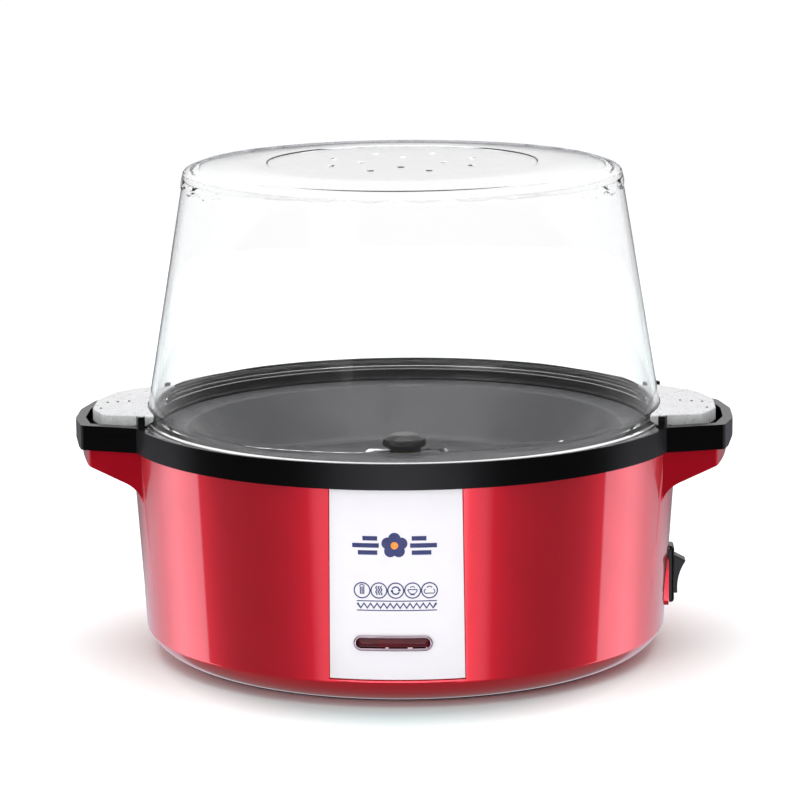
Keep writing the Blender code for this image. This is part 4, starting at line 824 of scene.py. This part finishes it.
def make_panel(looks):
    panel = raw("panel", turned(wall_layer(PANEL_THICK, 0, PANEL_LOW_Z, PANEL_TOP_Z), 2 * SIDES))
    outline = panel_outline(0, PANEL_LOW_Z - 0.5 * MM, PANEL_TOP_Z + 0.5 * MM)
    combine(panel, "INTERSECT", prism(outline, -170 * MM, -90 * MM, "Y"))
    hole = stadium(WINDOW_LONG - 1.2 * MM, WINDOW_TALL - 1.2 * MM)
    combine(panel, "DIFFERENCE", prism(hole, -150 * MM, -120 * MM, "Y"))
    bevel(panel, 0.45 * MM, 3, 50)
    return dress(shade(panel, 40), looks["white_panel"], "base", "front_panel")


def on_wall(x, z, height):
    """A point at a height above the body's outside, straight in front of (x, z)."""
    radius = body_radius(z) + height
    return Vector((x, -math.sqrt(radius * radius - x * x), z))


def wrapped_ring(name, stages):
    """A closed band through (outline, height) stages laid on the curved wall."""
    bm = bmesh.new()
    loops = []
    for outline, height in stages:
        loops.append([bm.verts.new(on_wall(x, z, height)) for x, z in outline])
    count = len(loops[0])
    for index, loop in enumerate(loops):
        following = loops[(index + 1) % len(loops)]
        for k in range(count):
            n = (k + 1) % count
            bm.faces.new((loop[k], loop[n], following[n], following[k]))
    return raw(name, bm)


def make_window(looks):
    """Plated bezel, domed red lens and the lamp's three glints, painted as light marks."""
    stages = []
    crown = arc((0.75 * MM, 0.55 * MM), 0.75 * MM, 0, math.pi, 8)
    for inset, height in crown:
        stages.append((stadium(WINDOW_LONG - 2 * inset, WINDOW_TALL - 2 * inset), height))
    stages.append((stadium(WINDOW_LONG - 0.8 * MM, WINDOW_TALL - 0.8 * MM), 0.1 * MM))
    stages.append((stadium(WINDOW_LONG - 0.8 * MM, WINDOW_TALL - 0.8 * MM), -3.4 * MM))
    stages.append((stadium(WINDOW_LONG - 3.0 * MM, WINDOW_TALL - 3.0 * MM), -3.4 * MM))
    bezel = wrapped_ring("bezel", stages)
    dress(shade(bezel, 50, False), looks["chrome_trim"], "base", "indicator_bezel")

    lens_long, lens_tall = WINDOW_LONG - 3.6 * MM, WINDOW_TALL - 3.6 * MM
    bm = bmesh.new()
    loops = []
    for k in range(7):
        inset = (WINDOW_TALL / 2 - 1.9 * MM) * math.sin(k / 6 * math.pi / 2)
        long, tall = lens_long - 2 * inset, max(lens_tall - 2 * inset, 0.02 * MM)
        outline = stadium(long, tall)
        height = -0.3 * MM + 0.9 * MM * math.sin(k / 6 * math.pi / 2)
        loops.append([bm.verts.new(on_wall(x, z, height)) for x, z in outline])
    under = stadium(lens_long, lens_tall)
    loops.insert(0, [bm.verts.new(on_wall(x, z, -1.6 * MM)) for x, z in under])
    count = len(loops[0])
    for low, high in zip(loops, loops[1:]):
        for k in range(count):
            n = (k + 1) % count
            bm.faces.new((low[k], low[n], high[n], high[k]))
    bm.faces.new(loops[0])
    bm.faces.new(loops[-1])
    lens = raw("lens", bm)
    dress(shade(lens, 50, False), looks["red_lens"], "base", "indicator_lens")

    # painted highlights: three light strokes along the window's lower edge stand in for glints
    glints = []
    for x, wide in ((-5.0, 1.6), (6.6, 2.4), (15.2, 1.4)):
        z = WINDOW_Z - 2.35 * MM
        glints.append(stroke([((x - wide / 2) * MM, z), ((x + wide / 2) * MM, z)], 0.5 * MM, 0.75 * MM))
    painted_glint = print_ink("glint", (0.70, 0.45, 0.45), (0.85, 0.65, 0.63))
    dress(shade(raw("window_painted_glints", merged(glints)), 30, False), painted_glint, "base", slot="chrome_trim")


def stroke(points, width, height=0.10 * MM, sink=-0.08 * MM):
    """A thin raised line along (x, z) points, wrapped on the panel; closed if it ends where it starts."""
    closed = points[0] == points[-1]
    points = [Vector(p) for p in (points[:-1] if closed else points)]
    count = len(points)
    bm = bmesh.new()
    sections = []
    for i, here in enumerate(points):
        before = points[i - 1] if closed or i else here
        after = points[(i + 1) % count] if closed or i < count - 1 else here
        along = (after - before).normalized()
        side = Vector((-along.y, along.x)) * width / 2
        left, right = here + side, here - side
        corners = ((left, sink), (left, height), (right, height), (right, sink))
        sections.append([bm.verts.new(on_wall(p.x, p.y, h)) for p, h in corners])
    pairs = list(zip(sections, sections[1:]))
    if closed:
        pairs.append((sections[-1], sections[0]))
    for first, second in pairs:
        for k in range(4):
            n = (k + 1) % 4
            bm.faces.new((first[k], first[n], second[n], second[k]))
    if not closed:
        bm.faces.new(sections[0])
        bm.faces.new(sections[-1])
    return bm


def spot(x, z, radius, height=0.10 * MM, steps=20):
    """A filled round mark of the print."""
    bm = bmesh.new()
    circle = arc((x, z), radius, 0, math.tau, steps)[:-1]
    upper = [bm.verts.new(on_wall(a, b, height)) for a, b in circle]
    lower = [bm.verts.new(on_wall(a, b, -0.08 * MM)) for a, b in circle]
    middle = bm.verts.new(on_wall(x, z, height))
    for k in range(steps):
        n = (k + 1) % steps
        bm.faces.new((upper[k], upper[n], middle))
        bm.faces.new((lower[k], lower[n], upper[n], upper[k]))
    bm.faces.new(lower)
    return bm


def line(x0, z0, x1, z1, width, steps=8):
    points = [(x0 + (x1 - x0) * k / steps, z0 + (z1 - z0) * k / steps) for k in range(steps + 1)]
    return stroke([(a * MM, b * MM) for a, b in points], width * MM)


def curve(centre, radius, start, end, width, steps=14):
    points = arc(centre, radius, math.radians(start), math.radians(end), steps)
    if abs(end - start) >= 360:
        points[-1] = points[0]
    return stroke([(a * MM, b * MM) for a, b in points], width * MM)


def pictogram(kind, x, z):
    """Plain signs inside the rings: kernels, heat, stirring, serving and a popped puff."""
    if kind == "kernels":
        marks = [line(x + k * 0.85, z - 2.0, x + k * 0.85, z + 1.9, 0.55, 3) for k in (-1, 0, 1)]
        return marks + [curve((x, z + 1.7), 1.3, 15, 165, 0.45)]
    if kind == "heat":
        marks = []
        for k in (-1.2, 0, 1.2):
            wave = [(x + k + 0.38 * math.sin(t * 1.35), z - 2.3 + t * 0.46) for t in range(11)]
            marks.append(stroke([(a * MM, b * MM) for a, b in wave], 0.6 * MM))
        return marks
    if kind == "stirring":
        marks = [curve((x, z), 1.9, start, start + 130, 0.75) for start in (25, 205)]
        for side in (1, -1):
            marks.append(spot((x + side * 1.9) * MM, (z + side * 0.2) * MM, 0.65 * MM))
        return marks
    if kind == "serving":
        marks = [curve((x, z + 0.5), 2.3, 180, 360, 0.45), line(x - 2.5, z + 0.5, x + 2.5, z + 0.5, 0.45, 4)]
        marks.append(curve((x, z + 0.9), 1.2, 20, 160, 0.4))
        return marks + [line(x - 1.2, z - 2.2, x + 1.2, z - 2.2, 0.45, 3)]
    puffs = ((-1.5, -0.5, 1.15, 110, 300), (0, 0.8, 1.35, 20, 160), (1.5, -0.5, 1.15, -120, 70))
    marks = [curve((x + a, z + b), r, start, end, 0.45) for a, b, r, start, end in puffs]
    return marks + [line(x - 1.0, z - 1.5, x + 1.0, z - 1.5, 0.45, 3)]


def make_print(looks):
    """Generic decoration in place of the lettering: a puff between bars, five signs and two rules."""
    emblem = [spot(around_x * MM, around_z * MM, 3.1 * MM) for around_x, around_z in puff_places(-0.8, 85.5)]
    for side in (-1, 1):
        for row, (inner, outer) in enumerate(((8.6, 16.0), (7.8, 21.2), (8.6, 18.4))):
            z = 89.2 - 3.7 * row
            emblem.append(line(-0.8 + side * inner, z, -0.8 + side * outer, z, 2.3))
    deep_blue = print_ink("deep_blue_ink", (0.0005, 0.008, 0.09), (0.001, 0.012, 0.12))
    dress(shade(raw("emblem", merged(emblem)), 30, False), deep_blue, "base", slot="white_panel")

    signs = []
    for k, kind in enumerate(("kernels", "heat", "stirring", "serving", "puff")):
        x = -17.3 + 8.45 * k
        signs.append(curve((x, 62.1), 3.95, 0, 360, 0.62, 40))
        signs += pictogram(kind, x, 62.1)
    signs.append(line(-20.0, 56.6, 20.2, 56.6, 0.5, 24))
    signs.append(line(-20.0, 51.7, 20.2, 51.7, 0.5, 24))
    teeth = 24
    zigzag = [(-19.7 + 39.6 * k / teeth, 52.9 if k % 2 else 55.4) for k in range(teeth + 1)]
    signs.append(stroke([(a * MM, b * MM) for a, b in zigzag], 1.1 * MM))
    blue = print_ink("blue_ink", (0.006, 0.018, 0.11), (0.009, 0.025, 0.14))
    dress(shade(raw("signs", merged(signs)), 30, False), blue, "base", slot="white_panel")
    orange = print_ink("orange_ink", (0.80, 0.22, 0.01), (0.88, 0.30, 0.02))
    heart = spot(-0.8 * MM, 85.5 * MM, 1.9 * MM, 0.16 * MM)
    dress(shade(raw("emblem_heart", heart), 30, False), orange, "base", slot="white_panel")


def puff_places(x, z):
    turns = [math.tau * k / 5 + math.pi / 2 for k in range(5)]
    return [(x + 3.6 * math.cos(turn), z + 3.6 * math.sin(turn)) for turn in turns]


# ---------------------------------------------------------------- switch


def make_switch(looks):
    half_long, half_wide = SWITCH_LONG / 2, SWITCH_WIDE / 2
    signs = ((-1, -1), (1, -1), (1, 1), (-1, 1))
    plate = rounded([(a * half_wide, SWITCH_Z + b * half_long, 2.2 * MM) for a, b in signs], 8)
    plate_object = raw("switch_plate", prism(plate, SWITCH_BACK_X, SWITCH_BACK_X + SWITCH_PLATE, "X"))
    front = SWITCH_BACK_X + SWITCH_PLATE - 0.5 * MM
    bevel(plate_object, 1.7 * MM, 5, 50, lambda middle, edge: 1.0 if middle.x > front else 0.0)
    box_long, box_wide = half_long - 1.5 * MM, 6.0 * MM
    box_low, box_high = SWITCH_Z - box_long, SWITCH_Z + box_long
    housing = block(128.5 * MM, SWITCH_BACK_X + 1 * MM, -box_wide, box_wide, box_low, box_high)
    combine(plate_object, "UNION", housing)
    for z in (SWITCH_Z - 6 * MM, SWITCH_Z + 6 * MM):
        blade = block(119 * MM, 129 * MM, -2.4 * MM, 2.4 * MM, z - 0.4 * MM, z + 0.4 * MM)
        combine(plate_object, "UNION", blade)
    well = block(131 * MM, 150 * MM, -5.2 * MM, 5.2 * MM, SWITCH_Z - 12.3 * MM, SWITCH_Z + 12.3 * MM)
    combine(plate_object, "DIFFERENCE", well)
    bevel(plate_object, 0.25 * MM, 2, 60)
    dress(shade(plate_object, 40, False), looks["black_plastic"], "base", "switch_frame")

    long = ROCKER_HALF_LONG
    face = []
    for k in range(17):
        z = long - long * 2 * k / 16
        face.append((5.9 * MM + 1.6 * MM * (z / long) ** 2, z))
    foot = [(0.8 * MM, -10.8 * MM), (-2 * MM, -10.8 * MM), (-4 * MM, -7 * MM)]
    outline = face + foot + [(x, -z) for x, z in reversed(foot)]
    at = Matrix.Translation((ROCKER_PIVOT_X, 0, SWITCH_Z)) @ Matrix.Rotation(ROCKER_REST, 4, "Y")
    rocker = raw("rocker", moved(prism(outline, -ROCKER_HALF_WIDE, ROCKER_HALF_WIDE, "Y"), at))
    bevel(rocker, 0.6 * MM, 3, 35)
    bar = block(5.6 * MM, 6.75 * MM, -0.35 * MM, 0.35 * MM, 3.4 * MM, 7.0 * MM)
    ring = moved(
        turned([(1.3 * MM, 0), (1.9 * MM, 0), (1.9 * MM, 1.4 * MM), (1.3 * MM, 1.4 * MM)], 24),
        Matrix.Translation((5.55 * MM, 0, -5.2 * MM)) @ Matrix.Rotation(math.pi / 2, 4, "Y"),
    )
    combine(rocker, "DIFFERENCE", moved(bar, at), moved(ring, at))
    dress(shade(rocker, 35, False), looks["black_plastic"], "rocker", "switch_rocker")


# ---------------------------------------------------------------- pan, stirrer, base


def make_pan(looks):
    thick = PAN_THICK
    upper = rounded(
        [
            (BUSH_HOLE_R, COLLAR_Z, 0),
            (12.5 * MM, COLLAR_Z, 1.6 * MM),
            (17 * MM, PAN_FLOOR_Z, 4 * MM),
            (PAN_FLOOR_R, PAN_FLOOR_Z, 12 * MM),
            (PAN_MOUTH_R - 1 * MM, PAN_RIM_Z, 3.5 * MM),
            (PAN_RIM_R, PAN_RIM_Z, 0.7 * MM),
            (PAN_RIM_R, PAN_RIM_Z - thick, 0.7 * MM),
            (PAN_MOUTH_R + 0.7 * MM, PAN_RIM_Z - thick, 1.8 * MM),
            (PAN_FLOOR_R + 0.9 * MM, PAN_FLOOR_Z - thick, 12 * MM),
            (15 * MM, PAN_FLOOR_Z - thick, 2 * MM),
            (11 * MM, COLLAR_Z - thick, 1.6 * MM),
            (BUSH_HOLE_R, COLLAR_Z - thick, 0),
        ],
        8,
        closed=False,
    )
    pan = raw("pan", turned(upper))
    dress(shade(pan), looks["nonstick_pan"], "base", "heating_pan")


def finger_grip(r, z, angle):
    """Lets the cap's outer edge run in shallow flutes."""
    if r <= 10.9 * MM:
        return r, z
    return r - 0.35 * MM * (1 + math.cos(18 * angle)), z


def make_stirrer(looks):
    hub_low = COLLAR_Z + 1.7 * MM
    hub = rounded(
        [
            (0, SHAFT_TOP_Z + 0.4 * MM, 0),
            (SHAFT_R + 0.5 * MM, SHAFT_TOP_Z + 0.4 * MM, 0.3 * MM),
            (SHAFT_R + 0.5 * MM, hub_low, 0.3 * MM),
            (9 * MM, hub_low, 1.2 * MM),
            (9 * MM, 107 * MM, 0.8 * MM),
            (0, 107 * MM, 0),
        ],
        5,
        closed=False,
    )
    dress(shade(raw("hub", turned(hub, 96))), looks["black_plastic"], "stirrer", "stirrer_hub")
    knob = rounded(
        [
            (0, 107.3 * MM, 0),
            (11 * MM, 107.3 * MM, 0.5 * MM),
            (12 * MM, 108.5 * MM, 1.0 * MM),
            (11.2 * MM, 111.5 * MM, 2.0 * MM),
            (7 * MM, 113.8 * MM, 4.0 * MM),
            (0, 114.2 * MM, 0),
        ],
        6,
        closed=False,
    )
    cap = raw("cap", turned(knob, 144, finger_grip))
    dress(shade(cap, 35, False), looks["black_plastic"], "stirrer", "stirrer_cap")
    high, low = 102.3 * MM, PAN_FLOOR_Z + 3.2 * MM
    corners = [
        (8.6 * MM, high, 0),
        (20 * MM, high, 5 * MM),
        (26 * MM, low, 5 * MM),
        (85 * MM, low, 6 * MM),
        (91 * MM, 98 * MM, 0),
    ]
    for index, angle in enumerate((math.radians(20), math.radians(200)), 1):
        points = [around(reach, angle, z) for reach, z in rounded(corners, 8, closed=False)]
        arm = raw(f"arm_{index}", tube(points, 1.9 * MM))
        dress(shade(arm, 40, False), looks["steel"], "stirrer", f"stirrer_arm_{index}")


def make_base(looks):
    foot = rounded(
        [
            (0, 0, 0),
            (9 * MM, 0, 1.2 * MM),
            (9 * MM, 2.2 * MM, 0.4 * MM),
            (3 * MM, 2.2 * MM, 0),
            (3 * MM, 5.3 * MM, 0),
            (4 * MM, 5.3 * MM, 0.3 * MM),
            (2.4 * MM, 8 * MM, 0.8 * MM),
            (0, 8 * MM, 0),
        ],
        5,
        closed=False,
    )
    for index in range(1, 5):
        low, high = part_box(f"foot_{index}")
        centre = Matrix.Translation(((low.x + high.x) / 2, (low.y + high.y) / 2, 0))
        made = raw(f"rubber_foot_{index}", moved(turned(foot, SMALL_SIDES), centre))
        dress(shade(made, 35, False), looks["rubber"], "base", f"foot_{index}")
    gland = rounded(
        [
            (3.6 * MM, 129 * MM, 0),
            (9 * MM, 129 * MM, 0.5 * MM),
            (9 * MM, 135.4 * MM, 0.5 * MM),
            (7 * MM, 135.4 * MM, 0),
            (7 * MM, 140.6 * MM, 0),
            (10 * MM, 140.6 * MM, 0.6 * MM),
            (10 * MM, 143 * MM, 1.2 * MM),
            (6.4 * MM, 147.5 * MM, 1.0 * MM),
            (3.6 * MM, 147.5 * MM, 0.5 * MM),
        ],
        5,
    )
    made = raw("gland", moved(turned(gland, 64), gland_matrix()))
    dress(shade(made, 35, False), looks["black_plastic"], "base", "cord_gland")


# ---------------------------------------------------------------- dome


def tab_corners(inset):
    upper = [TAB_END, TAB_SHOULDER, (*TAB_ROOT, 0)]
    lower = [(x, -y, radius) for x, y, radius in reversed(upper)]
    return offset_corners(lower + upper, inset)


def scallop(r, z, angle):
    """Makes the lower edge of the thin band under the dome's corner run in waves."""
    if abs(z - SCALLOP_Z) > 2.5 * MM:
        return r, z
    return r, z + SCALLOP_DEPTH * math.cos(SCALLOPS * angle)


def lug_notches():
    half_wide = LUG_HALF_WIDE + 0.4 * MM
    return merged([radial_block(a, LUG_IN_R - 0.4 * MM, 0.155, half_wide, 0.115, 0.14) for a in LUG_ANGLES])


def make_dome(looks):
    flange_low, flange_top = REBATE_Z + 0.3 * MM, RIM_TOP_Z - 1 * MM
    skirt_r = RIM_BORE_R - 0.7 * MM
    band = 0.6 * MM
    outer = rounded(
        [
            (skirt_r, DOME_SKIRT_Z, 0.5 * MM),
            (skirt_r, flange_low, 0.4 * MM),
            (FLANGE_R, flange_low, 0.7 * MM),
            (FLANGE_R, flange_top, 0.9 * MM),
            (dome_radius(flange_top) + 0.6 * MM, flange_top, 7.5 * MM),
            (dome_radius(SCALLOP_Z - 0.9 * MM), SCALLOP_Z - 0.9 * MM, 0.3 * MM),
            (dome_radius(SCALLOP_Z) + band, SCALLOP_Z + 0.3 * MM, 0.3 * MM),
            (116.0 * MM, 257.0 * MM, 3.0 * MM),
            (110.0 * MM, 259.4 * MM, 8.0 * MM),
            (90 * MM, TOP_Z, 300 * MM),
            (71.8 * MM, TOP_Z, 0.3 * MM),
            (71.2 * MM, TOP_Z - 0.5 * MM, 0.3 * MM),
            (0, TOP_Z - 0.5 * MM, 0),
            (0, TOP_Z - 2.4 * MM, 0),
            (90 * MM, TOP_Z - 2.4 * MM, 300 * MM),
            (109.0 * MM, 257.0 * MM, 8.0 * MM),
            (dome_radius(252 * MM) - DOME_WALL, 252 * MM, 6.0 * MM),
            (dome_radius(130 * MM) - DOME_WALL, 130 * MM, 5.0 * MM),
            (skirt_r - DOME_WALL, 126 * MM, 3.0 * MM),
            (skirt_r - DOME_WALL, DOME_SKIRT_Z, 0.5 * MM),
        ],
        6,
    )
    dome = raw("dome", turned(outer, SCALLOPS * 8, scallop))
    combine(dome, "DIFFERENCE", lug_notches())
    vents = []
    for radius, count, turn in ((22 * MM, 4, 0), (40 * MM, 8, 0.5)):
        for k in range(count):
            place = around(radius, math.tau * (k + turn) / count)
            hole = turned([(0, 0.25), (2 * MM, 0.25), (2 * MM, 0.27), (0, 0.27)], 24)
            vents.append(moved(hole, Matrix.Translation(place)))
    combine(dome, "DIFFERENCE", merged(vents))
    dress(shade(dome, 32), looks["clear_dome"], "dome", "dome_cover")


def make_tabs(looks):
    """The dome's two lifting tabs: the same plastic, frosted, with a few moulded pips on top."""
    tabs = raw("dome_tabs", drooped(both_ends(prism(rounded(tab_corners(0), 12), TAB_LOW_Z, TAB_TOP_Z))))
    under = prism(rounded(tab_corners(DOME_WALL), 12), 112 * MM, TAB_TOP_Z - DOME_WALL)
    combine(tabs, "DIFFERENCE", drooped(both_ends(under)))
    bevel(tabs, 0.9 * MM, 4, 40)
    clear_of_dome = [
        (0, 100 * MM),
        (FLANGE_R + 0.05 * MM, 100 * MM),
        (FLANGE_R + 0.05 * MM, RIM_TOP_Z - 1 * MM),
        (dome_radius(RIM_TOP_Z) + 5.0 * MM, RIM_TOP_Z - 0.9 * MM),
        (dome_radius(RIM_TOP_Z) + 1.6 * MM, RIM_TOP_Z + 2.0 * MM),
        (dome_radius(135 * MM) + 0.1 * MM, 135 * MM),
        (0, 135 * MM),
    ]
    combine(tabs, "DIFFERENCE", turned(clear_of_dome, SCALLOPS * 8), lug_notches())
    dress(shade(tabs, 35, False), looks["frosted"], "dome", slot="clear_dome")
    pips = []
    for side in (-1, 1):
        for x, y in ((147.5, 0), (153.6, 0.6), (159.2, 1.0), (161.0, -15)):
            top = TAB_TOP_Z - droop_at(x * MM) - 0.35 * MM
            pips.append(ball(0.9 * MM, (side * x * MM, y * MM, top)))
    dress(shade(raw("tab_pips", merged(pips)), 35, False), looks["pip"], "dome", slot="clear_dome")


# ---------------------------------------------------------------- studio


# Brightness of the reflected room by the angle from straight in front, in degrees
LOW_LEVELS = (
    (180, 0.18),
    (137, 0.22),
    (128, 0.28),
    (113, 0.62),
    (96.8, 0.64),
    (95.6, 0.062),
    (60, 0.064),
    (40, 0.08),
    (36, 0.31),
    (29.5, 0.33),
    (27, 0.95),
    (0, 0.95),
)
HIGH_LEVELS = (
    (180, 0.065),
    (104, 0.065),
    (102.5, 0.010),
    (25, 0.010),
    (17, 0.07),
    (9, 0.20),
    (0, 0.26),
)
PANEL_STRENGTH = 4.0
FLOOR_R = 1.45


def link_mix(tree, factor, first, second):
    made = tree.nodes.new("ShaderNodeMixShader")
    tree.links.new(factor, made.inputs[0])
    tree.links.new(first, made.inputs[1])
    tree.links.new(second, made.inputs[2])
    return made.outputs[0]


def background(tree, strength, colour=None):
    made = tree.nodes.new("ShaderNodeBackground")
    made.inputs["Color"].default_value = (1, 1, 1, 1)
    made.inputs["Strength"].default_value = strength
    if colour:
        tree.links.new(colour, made.inputs["Color"])
    return made.outputs[0]


def level_ramp(tree, facing, levels):
    """Grey by the cosine of the angle from straight in front."""
    place = tree.nodes.new("ShaderNodeMapRange")
    place.inputs["From Min"].default_value = -1
    tree.links.new(facing, place.inputs["Value"])
    ramp = tree.nodes.new("ShaderNodeValToRGB")
    tree.links.new(place.outputs[0], ramp.inputs[0])
    elements = ramp.color_ramp.elements
    while len(elements) < len(levels):
        elements.new(0.5)
    for element, (angle, level) in zip(elements, levels):
        element.position = (math.cos(math.radians(angle)) + 1) / 2
        element.color = (level, 0.97 * level, 1.08 * level, 1)
    return ramp.outputs[0]


def rising(tree, value, start, end):
    made = tree.nodes.new("ShaderNodeMapRange")
    made.interpolation_type = "SMOOTHSTEP"
    made.inputs["From Min"].default_value = start
    made.inputs["From Max"].default_value = end
    tree.links.new(value, made.inputs["Value"])
    return made.outputs[0]


def make_world():
    """White room: plain white to the eye, with soft panels and dark gaps round the object for reflections."""
    world = bpy.data.worlds.new("studio")
    bpy.context.scene.world = world
    world.use_nodes = True
    tree = world.node_tree
    add = tree.nodes.new
    direction = add("ShaderNodeTexCoord").outputs["Generated"]
    flat = add("ShaderNodeVectorMath")
    flat.operation = "MULTIPLY"
    flat.inputs[1].default_value = (1, 1, 0)
    tree.links.new(direction, flat.inputs[0])
    unit = add("ShaderNodeVectorMath")
    unit.operation = "NORMALIZE"
    tree.links.new(flat.outputs[0], unit.inputs[0])
    facing = add("ShaderNodeVectorMath")
    facing.operation = "DOT_PRODUCT"
    facing.inputs[1].default_value = (0, -1, 0)
    tree.links.new(unit.outputs[0], facing.inputs[0])
    split = add("ShaderNodeSeparateXYZ")
    tree.links.new(direction, split.inputs[0])
    height = split.outputs["Z"]
    low = background(tree, PANEL_STRENGTH, level_ramp(tree, facing.outputs["Value"], LOW_LEVELS))
    high = background(tree, PANEL_STRENGTH, level_ramp(tree, facing.outputs["Value"], HIGH_LEVELS))
    room = link_mix(tree, rising(tree, height, -0.258, -0.226), low, high)
    room = link_mix(tree, rising(tree, height, -0.56, -0.50), background(tree, 0.30), room)
    room = link_mix(tree, rising(tree, height, 0.02, 0.20), room, background(tree, 1.0))
    rays = add("ShaderNodeLightPath")
    painted_glint = link_mix(tree, rays.outputs["Is Glossy Ray"], background(tree, 0.85), room)
    seen = add("ShaderNodeMath")
    seen.operation = "MAXIMUM"
    tree.links.new(rays.outputs["Is Camera Ray"], seen.inputs[0])
    tree.links.new(rays.outputs["Is Transmission Ray"], seen.inputs[1])
    final = link_mix(tree, seen.outputs[0], painted_glint, background(tree, 1.02))
    tree.links.new(final, tree.nodes["World Output"].inputs["Surface"])


def area_light(name, at, size, power, tint=(1, 1, 1)):
    """A square soft light aimed at the object's middle."""
    lamp = bpy.data.lights.new(name, "AREA")
    lamp.shape = "RECTANGLE"
    lamp.size, lamp.size_y = size
    lamp.energy = power
    lamp.color = tint
    made = bpy.data.objects.new(name, lamp)
    made.location = at
    made.rotation_euler = (Vector((0, 0, 0.1)) - Vector(at)).to_track_quat("-Z", "Y").to_euler()
    bpy.context.scene.collection.objects.link(made)
    return made


def floor_painted_shadow():
    """White paper with a painted shadow: it darkens softly where the object stands on it, and its faint cyan
    tint makes the red light bounced from the body look grey in that painted shade.
    """
    made = Shader("floor_painted_shadow", (0.84, 0.90, 0.90), 0.9)
    spread = made.node("ShaderNodeMapping", Vector=made.place, Location=(0, 10 * MM, 0), Scale=(1.28, 1, 1))
    away = made.node("ShaderNodeVectorMath", operation="LENGTH")
    made.tree.links.new(spread.outputs[0], away.inputs[0])
    # painted shadow: the paper's colour darkens within an oval round the object's foot, a little to the front
    near, far = 138 * MM, 170 * MM
    painted_shadow, open_paper = (0.48, 0.57, 0.57), (0.84, 0.90, 0.90)
    made.feed("Base Color", made.mix(away.outputs["Value"], painted_shadow, open_paper, near, far))
    made.feed("Roughness", made.ramp(made.noise(40), 0.85, 0.95))
    return made.material


def make_studio():
    make_world()
    floor = raw("floor", prism(arc((0, 0), FLOOR_R, 0, math.tau, 96)[:-1], -20 * MM, 0.0))
    floor.data.materials.append(floor_painted_shadow())
    floor.visible_glossy = False
    area_light("overhead", (0, 0.05, 2.2), (2.4, 2.4), 48)
    front = area_light("front", (-1.5, -2.3, 1.1), (1.2, 1.2), 17)
    front.visible_glossy = False


def make_camera():
    """The photographer's place: almost straight on, a little to the right, and looking down slightly."""
    azimuth, distance, height = math.radians(1.8), 1.92, 0.4955
    pitch, aim_left, roll = math.radians(10.71), math.radians(0.063), math.radians(-0.45)
    data = bpy.data.cameras.new("camera")
    data.lens, data.sensor_width = 164.3, 36
    data.clip_start, data.clip_end = 0.05, 100
    camera = bpy.data.objects.new("camera", data)
    bpy.context.scene.collection.objects.link(camera)
    camera.location = (distance * math.sin(azimuth), -distance * math.cos(azimuth), height)
    turn = Matrix.Rotation(azimuth + aim_left, 4, "Z")
    tilt = Matrix.Rotation(math.pi / 2 - pitch, 4, "X")
    camera.rotation_euler = (turn @ tilt @ Matrix.Rotation(roll, 4, "Z")).to_euler()
    bpy.context.scene.camera = camera


def main():
    bpy.context.scene.view_settings.view_transform = "Standard"
    make_camera()
    make_studio()
    looks = all_materials()
    slots = {row["node"]: row["material_slot"] for row in frame["record"]["subparts"]}
    for name, node in NODES.items():
        node.data.materials.clear()
        node.data.materials.append(looks[slots[name]])
    make_body(looks)
    make_rim(looks)
    make_panel(looks)
    make_print(looks)
    make_window(looks)
    make_switch(looks)
    make_pan(looks)
    make_stirrer(looks)
    make_base(looks)
    make_dome(looks)
    make_tabs(looks)


main()
